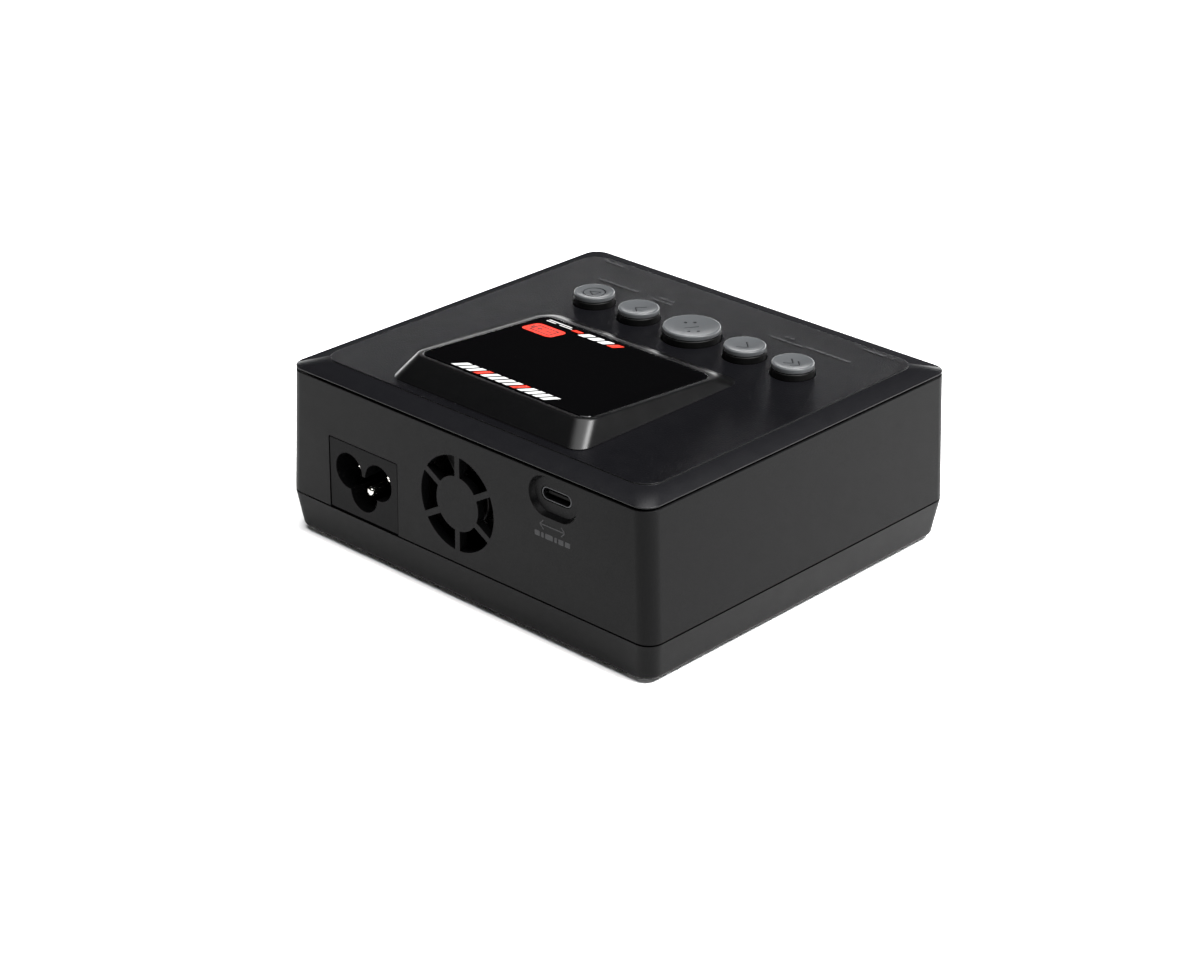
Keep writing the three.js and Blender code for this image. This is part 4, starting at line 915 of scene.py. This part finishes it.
# %% Fan frame
FAN_BORE = 11.9 * MM
FAN_CORNER = 1.6 * MM
MOUNT_RADIUS = 6.2 * MM
MOUNT_THICKNESS = 1.4 * MM
ARM_HALF_LENGTH = 6.1 * MM
ARM_HALF_WIDTH = 1 * MM
square = straight(fan_half.x, fan_half.z, FAN_CORNER, -fan_half.y, fan_half.y, 6)
fan_frame = as_object("fan_duct", on_rear(square, fan_middle.x, fan_middle.z, fan_middle.y))
bore = cylinder(FAN_BORE, -THROUGH, THROUGH, 72)
combine(fan_frame, [on_rear(bore, fan_middle.x, fan_middle.z, fan_middle.y)])
mount = [cylinder(MOUNT_RADIUS, 0, MOUNT_THICKNESS, 48)]
for i in range(3):
    arm = straight(ARM_HALF_WIDTH, ARM_HALF_LENGTH, 0, 0, MOUNT_THICKNESS)
    moved(arm, at(0, ARM_HALF_LENGTH, 0))
    mount.append(moved(arm, about_z(120 * i)))
mount = [on_rear(bm, fan_middle.x, fan_middle.z, fan_low.y) for bm in mount]
combine(fan_frame, mount, "UNION")
complete(fan_frame, fan_black, "case", ["fan_frame"], edge=0.1 * MM)

# %% Fan rotor
ROTOR_HUB = 6.2 * MM
ROTOR_TIP = 11.3 * MM
ROTOR_PLACE = 4.2 * MM  # from the rotor's inner end to its origin
HUB_ROUND = 0.6 * MM
HUB_WALL = 1 * MM
HUB_TOP = 3.4 * MM
HUB_INSIDE = 2.2 * MM
HUB_MOUTH = -3 * MM
SHAFT_RADIUS = 1 * MM
SHAFT_END = -3.6 * MM
BLADES = 7
BLADE_ROOT = 0.6 * MM
BLADE_HALF_WIDTH = 3 * MM
BLADE_BOW = 0.9 * MM
BLADE_THICKNESS = 0.7 * MM
BLADE_PITCH = 0.62
hub = [(0, SHAFT_END), (SHAFT_RADIUS, SHAFT_END), (SHAFT_RADIUS, HUB_INSIDE),
       (ROTOR_HUB - HUB_WALL, HUB_INSIDE), (ROTOR_HUB - HUB_WALL, HUB_MOUTH),
       (ROTOR_HUB, HUB_MOUTH)]
hub += arc(ROTOR_HUB - HUB_ROUND, HUB_TOP - HUB_ROUND, HUB_ROUND, 0, 90, 4)
hub.append((0, HUB_TOP))
rotor = as_object("fan_impeller", turned(hub, 56))


def blade(turn):
    """A pitched and curved blade, reaching a little into the hub."""
    bm = bmesh.new()
    bmesh.ops.create_grid(bm, x_segments=6, y_segments=6, size=1)
    reach = (ROTOR_TIP - ROTOR_HUB + BLADE_ROOT) / 2
    bmesh.ops.scale(bm, vec=(reach, BLADE_HALF_WIDTH, 1), verts=bm.verts)
    bmesh.ops.translate(bm, vec=(ROTOR_HUB - BLADE_ROOT + reach, 0, 0), verts=bm.verts)
    for vert in bm.verts:
        vert.co.z += BLADE_BOW * (1 - (vert.co.y / BLADE_HALF_WIDTH) ** 2)
    bmesh.ops.recalc_face_normals(bm, faces=bm.faces)
    bmesh.ops.solidify(bm, geom=bm.faces[:], thickness=BLADE_THICKNESS)
    moved(bm, Matrix.Rotation(BLADE_PITCH, 4, "X"))
    return moved(bm, Matrix.Rotation(turn, 4, "Z"))


blades = [blade(math.tau * i / BLADES) for i in range(BLADES)]
combine(rotor, blades, "UNION")
rotor_place = (fan_middle.x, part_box("fan_rotor")[0].y + ROTOR_PLACE, fan_middle.z)
rotor.data.transform(at(*rotor_place) @ FACE_REAR)
complete(rotor, fan_black, "fan", ["fan_rotor"])

# %% [markdown]
# ## Data port
# A folded steel sleeve, its colour set near black as painted shade for the port's pocket, with a
# plastic tongue in its middle.

# %% Port sleeve
SHEET = 0.3 * MM
port_depth = 2 * port_half.y
outside = stadium_tool(port_half.x, port_half.z, -port_depth, 0)
inside = stadium_tool(port_half.x - SHEET, port_half.z - SHEET, -port_depth + 1 * MM, 1 * MM)
outside, inside = [on_rear(bm, port_middle.x, port_middle.z, port_high.y)
                   for bm in (outside, inside)]
sleeve = combine(as_object("port_sleeve", outside), [inside])
complete(sleeve, sleeve_steel_painted_shade, "case", ["data_port_shell"], edge=0.08 * MM)

# %% Port tongue
low, high, middle, half = place_of("data_port_tongue")
tongue = as_object("port_tongue", on_rear(straight(half.x, half.z, 0.2 * MM, -2 * half.y, 0, 4),
                                          middle.x, middle.z, high.y))
complete(tongue, socket_black, "case", ["data_port_tongue"], edge=0.06 * MM)

# %% [markdown]
# ## Output sockets
# Each channel has a wide output socket with two flat blades and a narrow balance port.

# %% Sockets
CAVITY_CORNER = 0.3  # the smallest corner of a cavity, in millimetres
NOTCH_HALF_WIDTH = 1.6 * MM
NOTCH_DEPTH = 0.6 * MM
NOTCH_PLACE = 5.2 * MM
for side in ("left", "right"):
    for kind, cavity_wall, cavity_depth, corner in (("output_socket", 1.2, 9.5, 2.0),
                                                    ("balance_port", 0.8, 8.6, 0.4)):
        name = f"{kind}_{side}"
        low, high, middle, half = place_of(name)
        level = place_of(f"balance_pins_{side}")[2].z
        half_z = high.z - level
        block = as_object(f"{kind}_body_{side}", on_rear(
            straight(half.x, half_z, corner * MM, 0, high.y - low.y, 8),
            middle.x, level, front_face))
        cavity = on_rear(straight(half.x - cavity_wall * MM, half_z - cavity_wall * MM,
                                  max(corner - cavity_wall, CAVITY_CORNER) * MM, -BEYOND,
                                  cavity_depth * MM, 8), middle.x, level, front_face)
        cuts = [cavity]
        if kind == "balance_port":
            for key_side in (-1, 1):
                notch = straight(NOTCH_HALF_WIDTH, NOTCH_DEPTH, 0, -BEYOND, 4 * MM)
                cuts.append(on_rear(notch, middle.x + key_side * NOTCH_PLACE,
                                    level + half_z, front_face))
        combine(block, cuts)
        complete(block, socket_black, "case", [name], edge=0.12 * MM)
    for pole in ("negative", "positive"):
        low, high, middle, half = place_of(f"output_blade_{side}_{pole}")
        blade_bm = on_rear(straight(half.x, half.z, 0.3 * MM, 0, 2 * half.y, 4),
                           middle.x, middle.z, low.y)
        complete(as_object(f"output_contact_{side}_{pole}", blade_bm), gold_plate, "case",
                 [f"output_blade_{side}_{pole}"], edge=0.2 * MM, segments=3)

# %% [markdown]
# ## Feet and screws
# Both are under the tray: turned rubber feet with a round edge, and pan-head screws with a
# cross in their heads.

# %% Feet and screws
FOOT_ROUND = 0.5 * MM
HEAD_ROUND = 0.6 * MM
HEAD_HEIGHT = 1.8 * MM
SHANK_RADIUS = 1.4 * MM
CROSS_HALF_LENGTH = 1.7 * MM
CROSS_HALF_WIDTH = 0.35 * MM
for index in range(1, 5):
    low, high, middle, half = place_of(f"foot_{index}")
    profile = [(0, 0)] + arc(half.x - FOOT_ROUND, FOOT_ROUND, FOOT_ROUND, -90, 0, 6)
    profile += [(half.x, high.z), (0, high.z)]
    foot = moved(turned(profile, 56), at(middle.x, middle.y, 0))
    complete(as_object(f"rubber_foot_{index}", foot), rubber_black, "case",
             [f"foot_{index}"])
    low, high, middle, half = place_of(f"case_screw_{index}")
    head = half.x
    length = high.z - low.z
    profile = [(0, 0), (head - HEAD_ROUND, 0.0)]
    profile += arc(head - HEAD_ROUND, HEAD_ROUND, HEAD_ROUND, -90, 0, 5)[1:]
    profile += [(head, HEAD_HEIGHT), (SHANK_RADIUS, HEAD_HEIGHT),
                (SHANK_RADIUS, length - 1 * MM), (0, length)]
    screw = as_object(f"pan_screw_{index}", turned(profile, 40))
    combine(screw, [straight(CROSS_HALF_LENGTH, CROSS_HALF_WIDTH, 0, -1 * MM, 1 * MM),
                    straight(CROSS_HALF_WIDTH, CROSS_HALF_LENGTH, 0, -1 * MM, 1 * MM)])
    screw.data.transform(at(middle.x, middle.y, low.z))
    complete(screw, nickel, "case", [f"case_screw_{index}"])

# %% [markdown]
# ## Print
# Ink is a thin layer that stands a few hundredths of a millimetre proud. The marks are
# plain signs: slanted bars, a battery with plus and minus, arrows and short label lines.

# %% Print helpers
INK = 0.03 * MM


def skewed(bm, slant):
    """Leans a flat mark over, as italic print does."""
    for vert in bm.verts:
        vert.co.x += vert.co.y * slant
    return bm


def mark(width, height, x, y, slant=0.0, corner=0.0):
    bm = straight(width * MM / 2, height * MM / 2, corner * MM, -INK, INK, 4)
    return moved(skewed(bm, slant), at(x * MM, y * MM, 0))


def print_piece(name, marks, place, material):
    """Joins marks into one piece and lays them on their surface."""
    bm = bmesh.new()
    for one in marks:
        mesh = bpy.data.meshes.new("mark")
        one.to_mesh(mesh)
        one.free()
        bm.from_mesh(mesh)
        bpy.data.meshes.remove(mesh)
    moved(bm, place)
    return complete(as_object(name, bm), material, "case")


# %% Marks on the glass
glass_place = (at(lens_x, lens_y, lens_level) @ Matrix.Rotation(tilt, 4, "X")
               @ at(0, 0, GLASS_PROUD))
LEAN = 0.6  # how far a slanted mark leans over for each millimetre of height
STRIPES = 13
STRIPE_PITCH = 2.35
STRIPE_START = -13.2
RED_STRIPES = (4, 9)
stripes = []
stripes_red = []
for index in range(STRIPES):
    bars = stripes_red if index in RED_STRIPES else stripes
    bars.append(mark(1.5, 3.4, STRIPE_START + index * STRIPE_PITCH, 18.9, LEAN))
stripes += [mark(2.2, 2.6, 4.3 + 3.1 * i, -18.3, LEAN, 0.3) for i in range(3)]
stripes += [mark(length, 0.35, 20.0 + shift, y) for length, shift, y in (
    (7.5, 0.3, -19.6), (4.0, -2.2, -18.7), (3.0, 2.6, -18.7))]
print_piece("print_glass_white", stripes, glass_place, white_ink)
stripes_red.append(mark(2.2, 2.6, 1.2, -18.3, LEAN, 0.3))
stripes_red.append(mark(2.6, 1.2, 13.8, -18.6, LEAN, 0.2))
stripes_red.append(mark(9.6, 6.0, 19.6, -13.0, 0.12, 1.4))
print_piece("print_glass_red", stripes_red, glass_place, red_ink)
battery = [mark(6.4, 0.45, 19.4, -11.3), mark(6.4, 0.45, 19.4, -14.7),
           mark(0.45, 3.4, 16.3, -13.0), mark(0.45, 3.4, 22.5, -13.0),
           mark(0.6, 1.4, 23.2, -13.0), mark(1.6, 0.45, 18.0, -13.0),
           mark(1.6, 0.45, 20.9, -13.0), mark(0.45, 1.6, 20.9, -13.0)]
print_piece("print_glass_battery", battery, glass_place @ at(0, 0, 0.5 * INK), key_ink)


# %% Marks on the panel
DASH_SPACE = 0.45


def label(x0, x1, y, height, shares):
    """A line of short dashes from x0 to x1, with the given shares of its length."""
    room = x1 - x0 - DASH_SPACE * (len(shares) - 1)
    made = []
    x = x0
    for share in shares:
        width = room * share / sum(shares)
        made.append(mark(width, height, x + width / 2, y, 0, height * 0.2))
        x += width + DASH_SPACE
    return made


panel_marks = label(26.0, 39.0, -35.0, 0.9, [3, 1, 2, 1, 3, 2])
panel_marks += label(14.0, 20.4, -34.4, 0.8, [2, 1, 2])
panel_marks += label(14.8, 19.6, -36.0, 0.8, [1, 2])
panel_marks += label(-21.6, -18.6, -38.5, 0.8, [1, 1])
panel_marks += label(-40.0, -27.0, -36.8, 0.9, [3, 2, 1, 3, 2])
panel_marks += label(-26.0, -16.0, -36.2, 0.7, [2, 1, 2, 1])
panel_marks += label(40.2, 46.6, -45.2, 0.8, [2, 1, 2])
panel_marks += label(-43.6, -37.0, -45.4, 0.8, [2, 2, 1])
panel_marks += [mark(0.9, 0.9, 37.7, -45.0, 0, 0.44), mark(0.9, 0.9, -46.0, -45.6, 0, 0.44)]
print_piece("print_panel", panel_marks, at(0, 0, panel_top), grey_ink)


# %% Marks on the walls
def wall_arrow(x, y, width, height):
    """An arrow with a head at both ends: data goes in and out."""
    line = [mark(width, height * 0.14, x, y)]
    for end in (-1, 1):
        for turn in (-1, 1):
            barb = straight(height * 0.42 * MM, height * 0.07 * MM, 0, -INK, INK)
            reach = height * 0.3 * MM
            moved(barb, at((x + end * width / 2) * MM - end * reach, y * MM + turn * reach, 0)
                  @ about_z(-45 * end * turn))
            line.append(barb)
    return line


REAR_PRINT_HEIGHT = 17.8 * MM
FRONT_PRINT_ROOM = 3 * MM
rear_marks = wall_arrow(0, 1.35, 7.6, 1.9) + label(-5.4, 5.4, -1.25, 1.3, [2, 1, 3, 1, 2, 2])
upright = Matrix.Rotation(math.radians(90), 4, "X")
rear_level = low_seam + REAR_PRINT_HEIGHT
lean_back = Matrix.Rotation(-math.atan(lean), 4, "X")
rear_y = rear_face + lean * (housing_high.z - rear_level)
print_piece("print_rear", rear_marks, at(port_middle.x, rear_y, rear_level) @ lean_back
            @ about_z(180) @ upright, grey_ink)
front_marks = []
for side in ("left", "right"):
    x = place_of(f"output_socket_{side}")[2].x / MM
    front_marks += [mark(1.8, 0.4, x - 4.6, 0), mark(1.8, 0.4, x + 4.6, 0),
                    mark(0.4, 1.8, x + 4.6, 0)]
    x = place_of(f"balance_port_{side}")[2].x / MM
    front_marks += label(x - 5, x + 5, -1.6, 0.7, [1, 1, 1, 1, 1, 1])
front_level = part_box("output_socket_left")[1].z + FRONT_PRINT_ROOM
front_y = front_face - lean * (housing_high.z - front_level)
print_piece("print_front", front_marks, at(0, front_y, front_level) @ upright, grey_ink)
